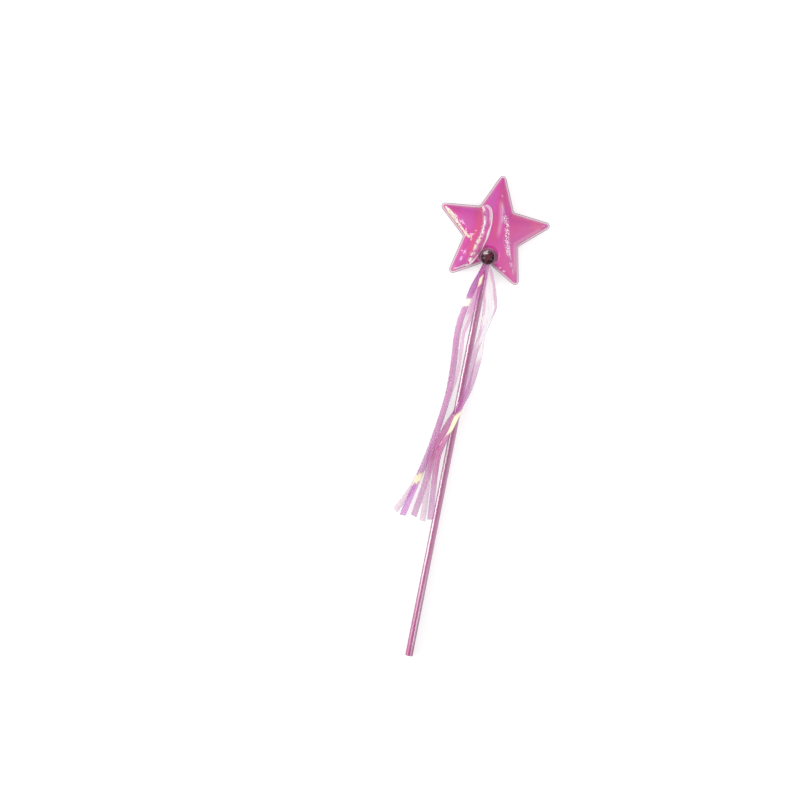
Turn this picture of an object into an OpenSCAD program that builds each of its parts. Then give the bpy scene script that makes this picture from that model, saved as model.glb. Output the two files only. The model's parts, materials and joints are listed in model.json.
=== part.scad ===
// Toy magic wand: a puffed film star on a film-wrapped stick, with five film
// streamers pinned under a gem at the star's lower notch.
// The wand lies on its back. +Y runs up the stick to the star, +Z points out of
// the star's front, and the origin is under the middle of the wand.
// Lengths are in millimetres and angles in degrees.

/* [Overall] */
// Length from the butt of the stick to the top point of the star
wand_length = 322; // [290:1:360]

/* [Star] */
// Distance from the star's centre to where its straight edges would meet
point_r = 41.6; // [38:0.2:46]
// Distance from the star's centre to its sharp notches
notch_r = 19.4; // [18.6:0.1:20.6]
// Radius that rounds each point
tip_round = 2.4; // [1.8:0.1:3]
// Radius that rounds each notch
notch_round = 1.5; // [0.8:0.1:2.5]
// Width of the flat welded rim
rim_w = 1.3; // [0.9:0.1:1.6]
// Height of the front film's crown above the weld
front_rise = 7.4; // [6.8:0.1:9]
// Thickness of the star's film
film_t = 0.3; // [0.2:0.05:0.4]
// Width of the loose pleat that winds down the front film
pleat_w = 4; // [3:0.1:4.6]
// Height of that pleat above the film around it
pleat_rise = 0.6; // [0.4:0.05:0.9]

/* [Stick] */
// Outer diameter of the plastic tube
tube_d = 4.2; // [3.8:0.1:4.8]
// Wall of the plastic tube
tube_wall = 0.6; // [0.4:0.05:0.9]
// Thickness of the film that wraps the tube
wrap_t = 0.25; // [0.15:0.05:0.4]
// How far the tube runs past the star's centre
tube_past = 8; // [0:0.5:14]
// Bare tube between the end of the wrap and where a sleeve on it would meet the star
wrap_stop = 0.6; // [0.4:0.1:2]

/* [Gem and rivet] */
// Distance from the floor of the star's lower notch in to the rivet
rivet_inset = 2.6; // [2.4:0.1:3.4]
// Diameter of the gem
gem_d = 9; // [8:0.1:10]
// Height of the gem
gem_h = 3; // [2.4:0.1:4]
// Height of the gem's straight girdle
gem_girdle = 0.9; // [0.5:0.05:1.2]
// Wall of the cup around the gem
cup_wall = 0.45; // [0.3:0.05:0.7]
// Floor of the cup under the gem
cup_floor = 0.7; // [0.5:0.05:1]
// Height of the cup's wall above its floor
cup_rim = 1.1; // [0.7:0.05:1.4]
// Diameter of the rivet's shank
shank_d = 1.8; // [1.4:0.05:2.2]
// Diameter of the cap that closes the rivet at the back
cap_d = 6; // [5:0.1:7]
// Thickness of that cap
cap_t = 0.7; // [0.5:0.05:1]

/* [Streamers] */
// Width of a streamer
streamer_w = 4; // [3:0.1:5]
// Thickness of a streamer
streamer_t = 0.2; // [0.1:0.02:0.24]

/* [Clearances] */
// Radial clearance of the rivet's shank in the streamers and the stick
pivot_gap = 0.05; // [0.03:0.01:0.1]
// Gap between the layers stacked on the rivet
layer_gap = 0.08; // [0.05:0.01:0.12]
// Gap between fixed pieces that fit together
fit_gap = 0.05; // [0.03:0.01:0.1]
// Gap between the tube and the back film in the star's mouth
mouth_gap = 0.15; // [0.12:0.01:0.3]
// Gap between the padding and what it fills
pad_gap = 0.1; // [0.05:0.01:0.2]
// Room above the stick for a sleeve that slides over it
sleeve_room = 0.6; // [0.55:0.05:1]

/* [Hidden] */
$fn = 64;
cut = 1;
streamer_n = 5;

// Star outline: half of a point's sector, its edge angles and its rounded ends
sector = 36;
tip_half = atan2(notch_r * sin(sector), point_r - notch_r * cos(sector));
notch_half = sector + tip_half;
function tip_centre(inset) = point_r - inset / sin(tip_half) - tip_radius(inset) / sin(tip_half);
function tip_radius(inset) = max(tip_round - inset, tip_round / 4);
function notch_centre(inset) = notch_r - inset / sin(notch_half) + (notch_round + inset) / sin(notch_half);
tip_r = tip_centre(0) + tip_round;
notch_floor_r = notch_centre(0) - notch_round;

// Heights, worked up from the surface that the wand lies on
table_gap = 0.1;
tube_r = tube_d / 2;
stick_r = tube_r + fit_gap + wrap_t;
sleeve_r = stick_r + sleeve_room;
cap_top = table_gap + cap_t;
back_under = cap_top + fit_gap;
seam_z = back_under + film_t + mouth_gap + tube_r;
seat_top = seam_z + sleeve_r;
layer_pitch = streamer_t + layer_gap;
cup_z = seat_top + streamer_n * layer_pitch + layer_gap;
gem_z = cup_z + cup_floor;
function layer_z(i) = seat_top + layer_gap + streamer_t / 2 + (i - 1) * layer_pitch;

// Places along the wand
butt_y = -wand_length / 2;
star_y = wand_length / 2 - tip_r;
notch_y = star_y - notch_floor_r;
rivet_y = notch_y + rivet_inset;
sleeve_stop_y = star_y - notch_r - sleeve_r / tan(notch_half);
wrap_end_y = sleeve_stop_y - wrap_stop;
tube_end_y = star_y + tube_past;

// Radii on the rivet's axis
shank_r = shank_d / 2;
gem_r = gem_d / 2;
cup_r = gem_r + fit_gap + cup_wall;
cap_r = cap_d / 2;
seat_margin = 2.2;
seat_r = streamer_w / 2 + seat_margin;

// Edge of the star at an angle from a point, drawn in by an inset
function edge_r(a, inset) =
    let (tc = tip_centre(inset), tr = tip_radius(inset))
    let (nc = notch_centre(inset), nr = notch_round + inset)
    let (pr = point_r - inset / sin(tip_half), sr = notch_r - inset / sin(notch_half))
    let (tip_end = atan2(tr * cos(tip_half), tc + tr * sin(tip_half)))
    let (notch_end = atan2(nr * cos(notch_half), nc - nr * sin(notch_half)))
    let (b = sector - a)
    a < tip_end ? tc * cos(a) + sqrt(tr * tr - pow(tc * sin(a), 2)) :
    b < notch_end ? nc * cos(b) - sqrt(nr * nr - pow(nc * sin(b), 2)) :
    pr * sr * sin(sector) / (pr * sin(a) + sr * sin(b));

// Angles from a point to the notch where the outline is drawn, closer at both ends
edge_steps = [0, 2, 4.5, 11, 19, 26, 30.5, 33.5];
half_turns = concat(edge_steps, [sector], [for (k = [7:-1:1]) 2 * sector - edge_steps[k]]);
turns = [for (point = [0:4]) for (a = half_turns) 2 * sector * point + a];
outline_n = len(turns);
function fold(a) = let (f = a % (2 * sector)) f > sector ? 2 * sector - f : f;

// Rings from the rim to the crown: how far out each lies, 1 at the weld
ring_out = [1, 0.95, 0.86, 0.72, 0.54, 0.33];
soft_share = 0.34;
function soft_r(a) =
    let (t = edge_r(0, rim_w), n = edge_r(sector, rim_w))
    (t + n) / 2 + soft_share * (t - n) * cos(5 * a);
function ring_r(a, out) = out * (edge_r(fold(a), rim_w) * out + soft_r(a) * (1 - out));
function at_turn(a, r) = [-r * sin(a), star_y + r * cos(a)];
function ring_xy(out) = [for (a = turns) at_turn(a, ring_r(a, out))];
edge_xy = [for (a = turns) at_turn(a, edge_r(fold(a), 0))];

// Puffed height of a film: a dome over the star, a seat dished around the rivet
// and a mouth that stays open round the stick at the lower notch
puff_power = 0.5;
back_depth = seam_z - film_t;
mouth_side = 2.4;
mouth_half_w = tube_r + mouth_side;
dish_gap = 0.3;
dish_margin = 1;
dish_edge = cup_r + dish_margin;
recess_margin = 2;
recess_r = cap_r + recess_margin;
dish_slope = (cup_z - dish_gap - seat_top) / (dish_edge - seat_r);
outer_slope = 0.8;
flat_gain = 2.2;
mouth_fade = 6;
function puff(out) = pow(sin(90 * (1 - out)), puff_power);
function from_rivet(p) = norm([p[0], p[1] - rivet_y]);
function clamp(v) = min(1, max(0, v));
function mouth(p) =
    abs(p[0]) < mouth_half_w
    ? pow(cos(90 * p[0] / mouth_half_w), 2) * clamp((star_y - p[1]) / mouth_fade)
    : 0;
function dish(p) =
    let (d = from_rivet(p))
    seat_top - film_t - seam_z + dish_slope * max(0, d - seat_r) + outer_slope * max(0, d - dish_edge);
function recess(p) = tube_r + mouth_gap + outer_slope * max(0, from_rivet(p) - recess_r);
function front_up(p, out) =
    max(min(front_rise * puff(out), dish(p)), (seat_top - film_t - seam_z) * mouth(p));
function back_down(p, out) =
    max(min(back_depth, flat_gain * back_depth * puff(out), recess(p)), (tube_r + mouth_gap) * mouth(p));

// Film surfaces as rings of points, from the outer edge in to the centre
ring_list = concat([edge_xy], [for (out = ring_out) ring_xy(out)]);
out_list = concat([1], ring_out);
centre_xy = [0, star_y];
ring_n = len(ring_list);
function front_z(p, out) = seam_z + front_up(p, out);
function back_z(p, out) = seam_z - back_down(p, out);
function raised(k, z) = [for (i = [0:outline_n - 1]) [ring_list[k][i][0], ring_list[k][i][1], z[i]]];
function front_ring(k, lift) = raised(k, [for (p = ring_list[k]) front_z(p, out_list[k]) + lift]);
function back_ring(k, lift) = raised(k, [for (p = ring_list[k]) back_z(p, out_list[k]) + lift]);
function rings(first, front, lift) =
    [for (k = [first:ring_n - 1]) front ? front_ring(k, lift) : back_ring(k, lift)];
function crown(front, lift) =
    let (z = front ? front_z(centre_xy, 0) : back_z(centre_xy, 0))
    [centre_xy[0], centre_xy[1], z + lift];

// Closed skin between an upper and a lower stack of rings that share their outline
module ring_body(upper, upper_mid, lower, lower_mid) {
    n = outline_n;
    rows = len(upper);
    low = rows * n;
    points = concat([for (r = upper) each r], [for (r = lower) each r], [upper_mid, lower_mid]);
    top_mid = 2 * low;
    bottom_mid = top_mid + 1;
    bands = [for (k = [0:rows - 2]) for (i = [0:n - 1])
        let (a = k * n + i, b = k * n + (i + 1) % n, c = b + n, d = a + n)
        each [[a, d, c], [a, c, b], [low + a, low + c, low + d], [low + a, low + b, low + c]]];
    last = (rows - 1) * n;
    fans = [for (i = [0:n - 1])
        let (a = last + i, b = last + (i + 1) % n)
        each [[a, top_mid, b], [low + a, low + b, bottom_mid]]];
    walls = [for (i = [0:n - 1])
        let (j = (i + 1) % n)
        each [[i, j, low + j], [i, low + j, low + i]]];
    polyhedron(points, concat(bands, fans, walls));
}

// Outline of the pleat: its way down the star, from the star's centre, and half its
// width to each side
pleat_way = [[-7.4, 15.6], [-4.6, 6], [-4.2, -3], [-6.4, -10.5], [-8.8, -16.6]];
pleat_last = len(pleat_way) - 1;
function pleat_side(k) =
    let (ahead = unit(pleat_way[min(k + 1, pleat_last)] - pleat_way[max(k - 1, 0)]))
    [-ahead[1], ahead[0]] * pleat_w / 2;
pleat_outline = concat(
    [for (k = [0:pleat_last]) pleat_way[k] + pleat_side(k)],
    [for (k = [pleat_last:-1:0]) pleat_way[k] - pleat_side(k)]
);

// Cylinder along the stick from y0 to y1
module along_stick(r, y0, y1) {
    translate([0, y0, seam_z]) rotate([-90, 0, 0]) cylinder(r = r, h = y1 - y0);
}

// Upright cylinder on the rivet's axis from z0 to z1
module on_rivet(r, z0, z1) {
    translate([0, rivet_y, z0]) cylinder(r = r, h = z1 - z0);
}

// Hollow plastic tube, cross-drilled for the rivet
module stick_tube() {
    color("orchid")
    difference() {
        along_stick(tube_r, butt_y, tube_end_y);
        along_stick(tube_r - tube_wall, butt_y - cut, tube_end_y + cut);
        on_rivet(shank_r + pivot_gap, 0, seat_top);
    }
}

// Film sleeve around the tube, from the butt to just below the star
module stick_wrap() {
    color("palevioletred")
    difference() {
        along_stick(stick_r, butt_y, wrap_end_y);
        along_stick(stick_r - wrap_t, butt_y - cut, wrap_end_y + cut);
    }
}

// Back film: flat where it rests, drawn up to the weld at its edge
module star_back_film() {
    color("mediumvioletred")
    difference() {
        ring_body(
            rings(0, false, 0), crown(false, 0),
            rings(0, false, -film_t), crown(false, -film_t)
        );
        on_rivet(shank_r + fit_gap, 0, seam_z);
    }
}

// Loose pleat: a raised band that follows the film it is folded from
module pleat() {
    over = film_t + pleat_rise;
    intersection() {
        translate([0, star_y, seam_z]) linear_extrude(front_rise + over + cut) polygon(pleat_outline);
        ring_body(
            rings(1, true, over), crown(true, over),
            rings(1, true, film_t / 2), crown(true, film_t / 2)
        );
    }
}

// Front film: the puffed side, dished under the gem
module star_front_film() {
    color("hotpink")
    difference() {
        union() {
            ring_body(
                rings(0, true, film_t), crown(true, film_t),
                rings(0, true, 0), crown(true, 0)
            );
            pleat();
        }
        on_rivet(shank_r + fit_gap, seam_z, seat_top + cut);
    }
}

// Soft filling of the star, with a channel for the stick
module star_padding() {
    color("white")
    difference() {
        ring_body(
            rings(2, true, -pad_gap), crown(true, -pad_gap),
            rings(2, false, pad_gap), crown(false, pad_gap)
        );
        along_stick(tube_r + pad_gap, star_y - point_r, tube_end_y + pad_gap);
        on_rivet(shank_r + pad_gap, 0, seat_top);
    }
}

// Cup that holds the gem, in one piece with the shank that pins the streamers
module gem_rivet() {
    wall_r = cup_r - cup_wall;
    color("silver")
    translate([0, rivet_y, 0])
    rotate_extrude()
    polygon([
        [0, table_gap], [shank_r, table_gap], [shank_r, cup_z], [cup_r - cup_floor / 2, cup_z],
        [cup_r, cup_z + cup_floor / 2], [cup_r, gem_z + cup_rim], [wall_r, gem_z + cup_rim],
        [wall_r, gem_z], [0, gem_z]
    ]);
}

// Flat-backed cut stone: table, two rows of crown facets and a straight girdle
module gem() {
    facets = 8;
    table_r = 0.5 * gem_r;
    break_r = 0.82 * gem_r;
    break_z = gem_girdle + 0.62 * (gem_h - gem_girdle);
    color("indigo")
    translate([0, rivet_y, gem_z])
    hull() {
        cylinder(r = gem_r, h = gem_girdle, $fn = 2 * facets);
        rotate([0, 0, 180 / facets]) cylinder(r = break_r, h = break_z, $fn = facets);
        cylinder(r = table_r, h = gem_h, $fn = facets);
    }
}

// Cap pressed on the shank behind the star
module rivet_cap() {
    bore_r = shank_r + fit_gap;
    bevel = cap_t / 2;
    color("lightgray")
    translate([0, rivet_y, 0])
    rotate_extrude()
    polygon([
        [bore_r, table_gap], [cap_r - bevel, table_gap], [cap_r, table_gap + bevel],
        [cap_r, cap_top], [bore_r, cap_top]
    ]);
}

// Streamers: where each one leaves the rivet, and then its own way from the
// rivet's axis as [x, y, z above the table, roll], in the order they are stacked
lead_y = -5;
lead_x = [-0.3, -0.4, -0.2, 0.6, 0.4];
ways = [
    [
        [-1.8, -11, 6.7, 0], [-4.5, -19, 6.6, 0], [-6.6, -27, 5.0, 6], [-8, -35, 2.8, 8],
        [-9.4, -44, 1.4, 6], [-9.6, -56, 1.0, 0], [-8.6, -68, 1.0, -8], [-8, -80, 1.0, -6],
        [-7.9, -92, 1.0, 0], [-8.9, -105, 1.0, 6], [-10.8, -119, 1.0, 8], [-13.6, -136, 1.0, 4],
        [-18.5, -156, 1.0, -8], [-27.4, -175, 1.0, -4]
    ],
    [
        [-2.4, -12, 7.1, 0], [-5.4, -21, 7.1, 0], [-6.8, -29, 6.6, 4], [-8.4, -37, 4.6, 8],
        [-9.8, -46, 3.2, 6], [-9.5, -57, 2.7, -6], [-8.4, -69, 2.7, -10], [-7.6, -81, 2.7, 4],
        [-7.7, -93, 2.7, 10], [-9, -106, 2.7, 6], [-11.2, -123, 2.7, -8], [-14, -139, 2.7, -10],
        [-18, -158, 2.7, 6], [-22, -177, 2.7, 10]
    ],
    [
        [-1, -11, 7.4, 0], [-2.2, -21, 7.6, 0], [-3.2, -31, 7.6, 0], [-4.2, -39, 7.5, 4],
        [-5.6, -47, 6.8, 8], [-6.7, -53, 5.6, 8], [-6.1, -61, 4.8, -4], [-5.6, -71, 4.7, -8],
        [-5.8, -82, 4.7, 0], [-7.4, -92, 4.7, 8], [-9.6, -110, 4.7, 10], [-11.6, -132, 4.7, -8],
        [-11.3, -150, 4.7, -10], [-14.7, -176, 4.7, 8]
    ],
    [
        [4, -11, 7.6, 0], [8.2, -22, 5.4, -10], [10.8, -31, 3.0, -35], [9.6, -40, 2.4, -50],
        [6.8, -50, 2.2, -20], [7.3, -62, 2.4, 15], [6.6, -74, 4.2, 10], [4.6, -88, 7.0, 0],
        [0.3, -101, 7.6, 0], [-5, -114, 7.6, 6], [-8.8, -128, 7.5, 10], [-10.5, -144, 7.4, -6],
        [-9.4, -162, 7.4, -10], [-8.5, -178, 7.4, 4]
    ],
    [
        [2.6, -11, 8.0, 0], [3.3, -20, 8.1, 6], [4.9, -30, 7.9, 16], [5.8, -41, 7.7, 22],
        [5.6, -52, 7.9, 8], [3.6, -64, 8.6, -16], [3.4, -76, 9.3, -22], [2.8, -90, 9.9, -8],
        [0.1, -105, 10.1, 8], [-3.7, -120, 10.1, 16], [-6.6, -133, 10.0, 6], [-6.3, -147, 9.8, -12],
        [-5.2, -160, 9.6, -14], [-3.6, -176, 9.4, 6]
    ]
];
function way(i) = concat([[0, 0, layer_z(i), 0], [lead_x[i - 1], lead_y, layer_z(i), 0]], ways[i - 1]);
function spot(p) = [p[0], p[1] + rivet_y, p[2]];
function unit(v) = v / norm(v);
function heading(pts, k) = unit(spot(pts[min(k + 1, len(pts) - 1)]) - spot(pts[max(k - 1, 0)]));
function strip_corners(pts, k) =
    let (ahead = k < 2 ? [0, -1, 0] : heading(pts, k), flat = unit(cross([0, 0, 1], ahead)))
    let (up = cross(ahead, flat), roll = pts[k][3], mid = spot(pts[k]))
    let (side = (flat * cos(roll) + up * sin(roll)) * streamer_w / 2)
    let (face = (up * cos(roll) - flat * sin(roll)) * streamer_t / 2)
    [mid + side + face, mid - side + face, mid - side - face, mid + side - face];

// One film strip with a punched, rounded end on the rivet. Its underside is split
// along the same diagonals as its top, so that a twist keeps the film's thickness
module streamer(i) {
    pts = way(i);
    under = 2;
    corners = [for (k = [0:len(pts) - 1]) each strip_corners(pts, k)];
    last = 4 * (len(pts) - 1);
    skin = [for (k = [0:len(pts) - 2]) for (j = [0:3])
        let (a = 4 * k + j, b = 4 * k + (j + 1) % 4)
        each j == under
            ? [[b, a, b + 4], [a, a + 4, b + 4]]
            : [[b, a, a + 4], [b, a + 4, b + 4]]];
    ends = [[0, 1, 2], [0, 2, 3], [last + 2, last + 1, last], [last + 3, last + 2, last]];
    z = layer_z(i) - streamer_t / 2;
    color("plum")
    difference() {
        union() {
            on_rivet(streamer_w / 2, z, z + streamer_t);
            polyhedron(corners, concat(skin, ends));
        }
        on_rivet(shank_r + pivot_gap, z - cut, z + streamer_t + cut);
    }
}
module streamer_1() { streamer(1); }
module streamer_2() { streamer(2); }
module streamer_3() { streamer(3); }
module streamer_4() { streamer(4); }
module streamer_5() { streamer(5); }

stick_tube();
stick_wrap();
star_back_film();
star_front_film();
star_padding();
gem_rivet();
gem();
rivet_cap();
streamer_1();
streamer_2();
streamer_3();
streamer_4();
streamer_5();
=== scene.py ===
# %% [markdown]
# # A toy magic wand
# The wand is a puffed star of pink film on a thin stick. A dark cut gem is riveted at the
# star's lower notch, and five film streamers hang from the rivet. The construction comes
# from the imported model, at its real size, so this lesson only adds what the eye sees:
# thin film that curls and creases, a crinkled wrap, a faceted stone and their finishes.

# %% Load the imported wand
import json
import math

import bmesh
import bpy
import numpy as np
from mathutils import Matrix, Vector, geometry, noise


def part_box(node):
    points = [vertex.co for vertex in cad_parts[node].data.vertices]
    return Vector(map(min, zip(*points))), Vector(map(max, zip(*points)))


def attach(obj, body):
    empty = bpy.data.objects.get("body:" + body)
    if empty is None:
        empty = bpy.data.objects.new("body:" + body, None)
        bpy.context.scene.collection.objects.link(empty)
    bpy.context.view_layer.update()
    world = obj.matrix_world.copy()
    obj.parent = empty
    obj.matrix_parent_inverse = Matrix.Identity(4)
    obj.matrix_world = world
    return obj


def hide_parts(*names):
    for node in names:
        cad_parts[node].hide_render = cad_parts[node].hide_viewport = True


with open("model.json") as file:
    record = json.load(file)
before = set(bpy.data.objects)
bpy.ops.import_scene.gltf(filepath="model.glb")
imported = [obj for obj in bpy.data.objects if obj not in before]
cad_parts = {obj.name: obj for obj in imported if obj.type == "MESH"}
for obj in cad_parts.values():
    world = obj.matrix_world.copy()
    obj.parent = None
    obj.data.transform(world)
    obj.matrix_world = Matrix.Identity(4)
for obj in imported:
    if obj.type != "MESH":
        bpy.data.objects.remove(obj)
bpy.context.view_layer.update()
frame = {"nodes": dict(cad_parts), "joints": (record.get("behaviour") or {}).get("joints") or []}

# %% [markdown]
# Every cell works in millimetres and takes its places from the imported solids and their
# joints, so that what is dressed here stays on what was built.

MM = 0.001
pivots = {joint["child"]: Vector(joint["pos_m"]) / MM for joint in frame["joints"]}
rivet_x, rivet_y, first_layer_z = pivots["streamer_1"]
stick_low, stick_high = (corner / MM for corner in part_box("stick_wrap"))
star_low, star_high = (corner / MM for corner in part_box("star_front_film"))
gem_low, gem_high = (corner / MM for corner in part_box("gem"))
stick_z = (stick_low.z + stick_high.z) / 2
stick_r = (stick_high.z - stick_low.z) / 2
print(f"rivet at y {rivet_y:.2f} mm, stick {2 * stick_r:.2f} mm thick at z {stick_z:.2f} mm")

# %% [markdown]
# ## The camera
# The wand lies on a white table and is seen from straight above, turned a little so that
# the star leans to the right. A long lens far away keeps the sides of the stick parallel,
# as in a catalogue picture. The picture's scale fixes the lens: 0.66 mm to a pixel.

# %% Place the camera above the wand
IMAGE_PX = 800
PIXEL_MM = 0.66
CAMERA_HEIGHT_MM = 1500
CAMERA_OVER_MM = (-38.3, 3.0)
CAMERA_TURN_DEG = 11.17
SENSOR_MM = 36

lens = bpy.data.cameras.new("long_lens")
lens.sensor_width = SENSOR_MM
lens.lens = SENSOR_MM * CAMERA_HEIGHT_MM / (IMAGE_PX * PIXEL_MM)
camera = bpy.data.objects.new("camera", lens)
camera.location = (CAMERA_OVER_MM[0] * MM, CAMERA_OVER_MM[1] * MM, CAMERA_HEIGHT_MM * MM)
camera.rotation_euler.z = math.radians(CAMERA_TURN_DEG)
scene = bpy.context.scene
scene.collection.objects.link(camera)
scene.camera = camera
print(f"lens {lens.lens:.1f} mm, {IMAGE_PX * PIXEL_MM:.0f} mm across the picture")

# %% [markdown]
# ## Tools for finishes and pieces
# A colour is picked as the hex value that a screen shows, but a renderer adds up light, so
# one function turns it to linear. One more adds a shader node with its settings and links.
# Pieces are written in millimetres, and become metres only when the mesh is made. Numbers
# stored on a mesh's points let a finish follow the form: an edge, a crease, a fold.

# %% Colours, nodes and meshes
def linear(hex_code):
    """Linear red, green, blue and alpha of an sRGB hex colour."""
    parts = [int(hex_code[i:i + 2], 16) / 255 for i in (1, 3, 5)]
    light = [p / 12.92 if p <= 0.04045 else ((p + 0.055) / 1.055) ** 2.4 for p in parts]
    return (*light, 1.0)


def add_node(tree, kind, inputs=None, stops=(), **settings):
    """Add a shader node with its settings, its inputs (values, sockets or nodes) and ramp stops."""
    made = tree.nodes.new("ShaderNode" + kind)
    for name, value in settings.items():
        setattr(made, name, value)
    for name, value in (inputs or {}).items():
        if isinstance(value, bpy.types.Node):
            value = next(socket for socket in value.outputs if socket.enabled)
        if isinstance(value, bpy.types.NodeSocket):
            tree.links.new(value, made.inputs[name])
        else:
            made.inputs[name].default_value = value
    for k, (place, colour) in enumerate(stops):
        ramp = made.color_ramp.elements
        stop = ramp[k] if k < len(ramp) else ramp.new(place)
        stop.position = place
        stop.color = linear(colour)
    return made


def new_finish(name):
    """An empty material and its node tree."""
    material = bpy.data.materials.new(name)
    material.use_nodes = True
    material.node_tree.nodes.clear()
    return material, material.node_tree


def add_piece(name, points, faces, smooth=True):
    """A mesh object from points in millimetres, in the wand's own frame."""
    mesh = bpy.data.meshes.new(name)
    mesh.from_pydata((np.asarray(points, float) * MM).tolist(), [], faces)
    mesh.polygons.foreach_set("use_smooth", [smooth] * len(mesh.polygons))
    mesh.update()
    made = bpy.data.objects.new(name, mesh)
    scene.collection.objects.link(made)
    return made


def store(made, name, values, kind="FLOAT", where="POINT"):
    """Keep a number or a colour for each point or face of a piece."""
    layer = made.data.attributes.new(name, kind, where)
    layer.data.foreach_set("color" if kind == "FLOAT_COLOR" else "value", np.ravel(values))


def thicken(made, film_mm, offset):
    """Give a film its thickness: offset -1 goes to the back of its faces, 0 to both sides."""
    solid = made.modifiers.new("film thickness", "SOLIDIFY")
    solid.thickness = film_mm * MM
    solid.offset = offset


def ease(values, low, high):
    """Smooth step from 0 at low to 1 at high."""
    t = np.clip((np.asarray(values, float) - low) / (high - low), 0, 1)
    return t * t * (3 - 2 * t)


def between(values, a, b, c, d):
    """1 from b to c, easing to 0 at a and at d."""
    return ease(values, a, b) * (1 - ease(values, c, d))


# %% [markdown]
# ## The streamers
# Each streamer is a strip cut from a roll of thin iridescent film, 4 mm wide, with a hole
# punched in one end for the rivet. Loose film never lies flat: it rolls, twists and flutters
# a little. A cloth simulation of five long strips would be slow and hard to steer, so each
# strip is a grid of points swept along a smooth curve, with a roll, a slight cup and a
# flutter. The routes are the ones that the strips' solids take, from the rivet's axis as
# x, y, height above the table and roll in degrees.

# %% Routes of the five streamers
LEAD_Y = -5
LEADS_X = [-0.3, -0.4, -0.2, 0.6, 0.4]
ROUTES = [
    [
        (-1.8, -11, 6.7, 0), (-4.5, -19, 6.6, 0), (-6.6, -27, 5.0, 6), (-8, -35, 2.8, 8),
        (-9.4, -44, 1.4, 6), (-9.6, -56, 1.0, 0), (-8.6, -68, 1.0, -8), (-8, -80, 1.0, -6),
        (-7.9, -92, 1.0, 0), (-8.9, -105, 1.0, 6), (-10.8, -119, 1.0, 8), (-13.6, -136, 1.0, 4),
        (-18.5, -156, 1.0, -8), (-27.4, -175, 1.0, -4),
    ],
    [
        (-2.4, -12, 7.1, 0), (-5.4, -21, 7.1, 0), (-6.8, -29, 6.6, 4), (-8.4, -37, 4.6, 8),
        (-9.8, -46, 3.2, 6), (-9.5, -57, 2.7, -6), (-8.4, -69, 2.7, -10), (-7.6, -81, 2.7, 4),
        (-7.7, -93, 2.7, 10), (-9, -106, 2.7, 6), (-11.2, -123, 2.7, -8), (-14, -139, 2.7, -10),
        (-18, -158, 2.7, 6), (-22, -177, 2.7, 10),
    ],
    [
        (-1, -11, 7.4, 0), (-2.2, -21, 7.6, 0), (-3.2, -31, 7.6, 0), (-4.2, -39, 7.5, 4),
        (-5.6, -47, 6.8, 8), (-6.7, -53, 5.6, 8), (-6.1, -61, 4.8, -4), (-5.6, -71, 4.7, -8),
        (-5.8, -82, 4.7, 0), (-7.4, -92, 4.7, 8), (-9.6, -110, 4.7, 10), (-11.6, -132, 4.7, -8),
        (-11.3, -150, 4.7, -10), (-14.7, -176, 4.7, 8),
    ],
    [
        (4, -11, 7.6, 0), (8.2, -22, 5.4, -10), (10.8, -31, 3.0, -35), (9.6, -40, 2.4, -50),
        (6.8, -50, 2.2, -20), (7.3, -62, 2.4, 15), (6.6, -74, 4.2, 10), (4.6, -88, 7.0, 0),
        (0.3, -101, 7.6, 0), (-5, -114, 7.6, 6), (-8.8, -128, 7.5, 10), (-10.5, -144, 7.4, -6),
        (-9.4, -162, 7.4, -10), (-8.5, -178, 7.4, 4),
    ],
    [
        (2.6, -11, 8.0, 0), (3.3, -20, 8.1, 6), (4.9, -30, 7.9, 16), (5.8, -41, 7.7, 22),
        (5.6, -52, 7.9, 8), (3.6, -64, 8.6, -16), (3.4, -76, 9.3, -22), (2.8, -90, 9.9, -8),
        (0.1, -105, 10.1, 8), (-3.7, -120, 10.1, 16), (-6.6, -133, 10.0, 6), (-6.3, -147, 9.8, -12),
        (-5.2, -160, 9.6, -14), (-3.6, -176, 9.4, 6),
    ],
]
SPAN_STEPS = 10


def smooth_route(points):
    """Catmull-Rom curve through the points, each a row of numbers."""
    rows = np.array([points[0], *points, points[-1]], float)
    curve = []
    for a, b, c, d in zip(rows, rows[1:], rows[2:], rows[3:]):
        for t in np.arange(SPAN_STEPS) / SPAN_STEPS:
            bend = 2 * a - 5 * b + 4 * c - d
            turn = 3 * b - a - 3 * c + d
            curve.append((2 * b + (c - a) * t + bend * t * t + turn * t ** 3) / 2)
    return np.array([*curve, rows[-1]])


def streamer_route(i):
    """Smooth route of streamer i, in the wand's frame: x, y, z and roll."""
    layer_z = pivots[f"streamer_{i}"].z
    start = [(0, 0, layer_z, 0), (LEADS_X[i - 1], LEAD_Y, layer_z, 0)]
    return smooth_route(start + ROUTES[i - 1]) + (rivet_x, rivet_y, 0, 0)


def lengths_along(points):
    """Distance along a line of points, from its first."""
    return np.concatenate([[0], np.cumsum(np.linalg.norm(np.diff(points, axis=0), axis=1))])


routes = {i: streamer_route(i) for i in range(1, 6)}
for i, route in routes.items():
    print(f"streamer {i}: {lengths_along(route[:, :3])[-1]:.1f} mm, lowest {route[:, 2].min():.2f} mm")

# %% [markdown]
# The strip's own shape comes next. Nine points across carry the cup and the flutter, which
# fade out near the rivet, where the strips are stacked 0.28 mm apart. The punched end is a
# ring of faces between the hole and a round tab, so the rivet's shank really passes through.

# %% Sweep the strips
STRIP_W = 4.0
STRIP_FILM = 0.08
HOLE_R = 0.95
ACROSS = np.linspace(-1, 1, 9)
TAB_TURNS = np.radians(np.arange(0, 181, 20))
TAB_LENGTH = 2.4
FREE_FROM = 12
FREE_FULL = 40
CUP_MM = 0.28
CUP_RUN_MM = 13
FLUTTER_MM = 0.13
FLUTTER_RUNS_MM = (2.3, 5.1)
END_SKEW_MM = [0.5, -0.4, 0.3, 0.2, -0.1]


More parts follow.
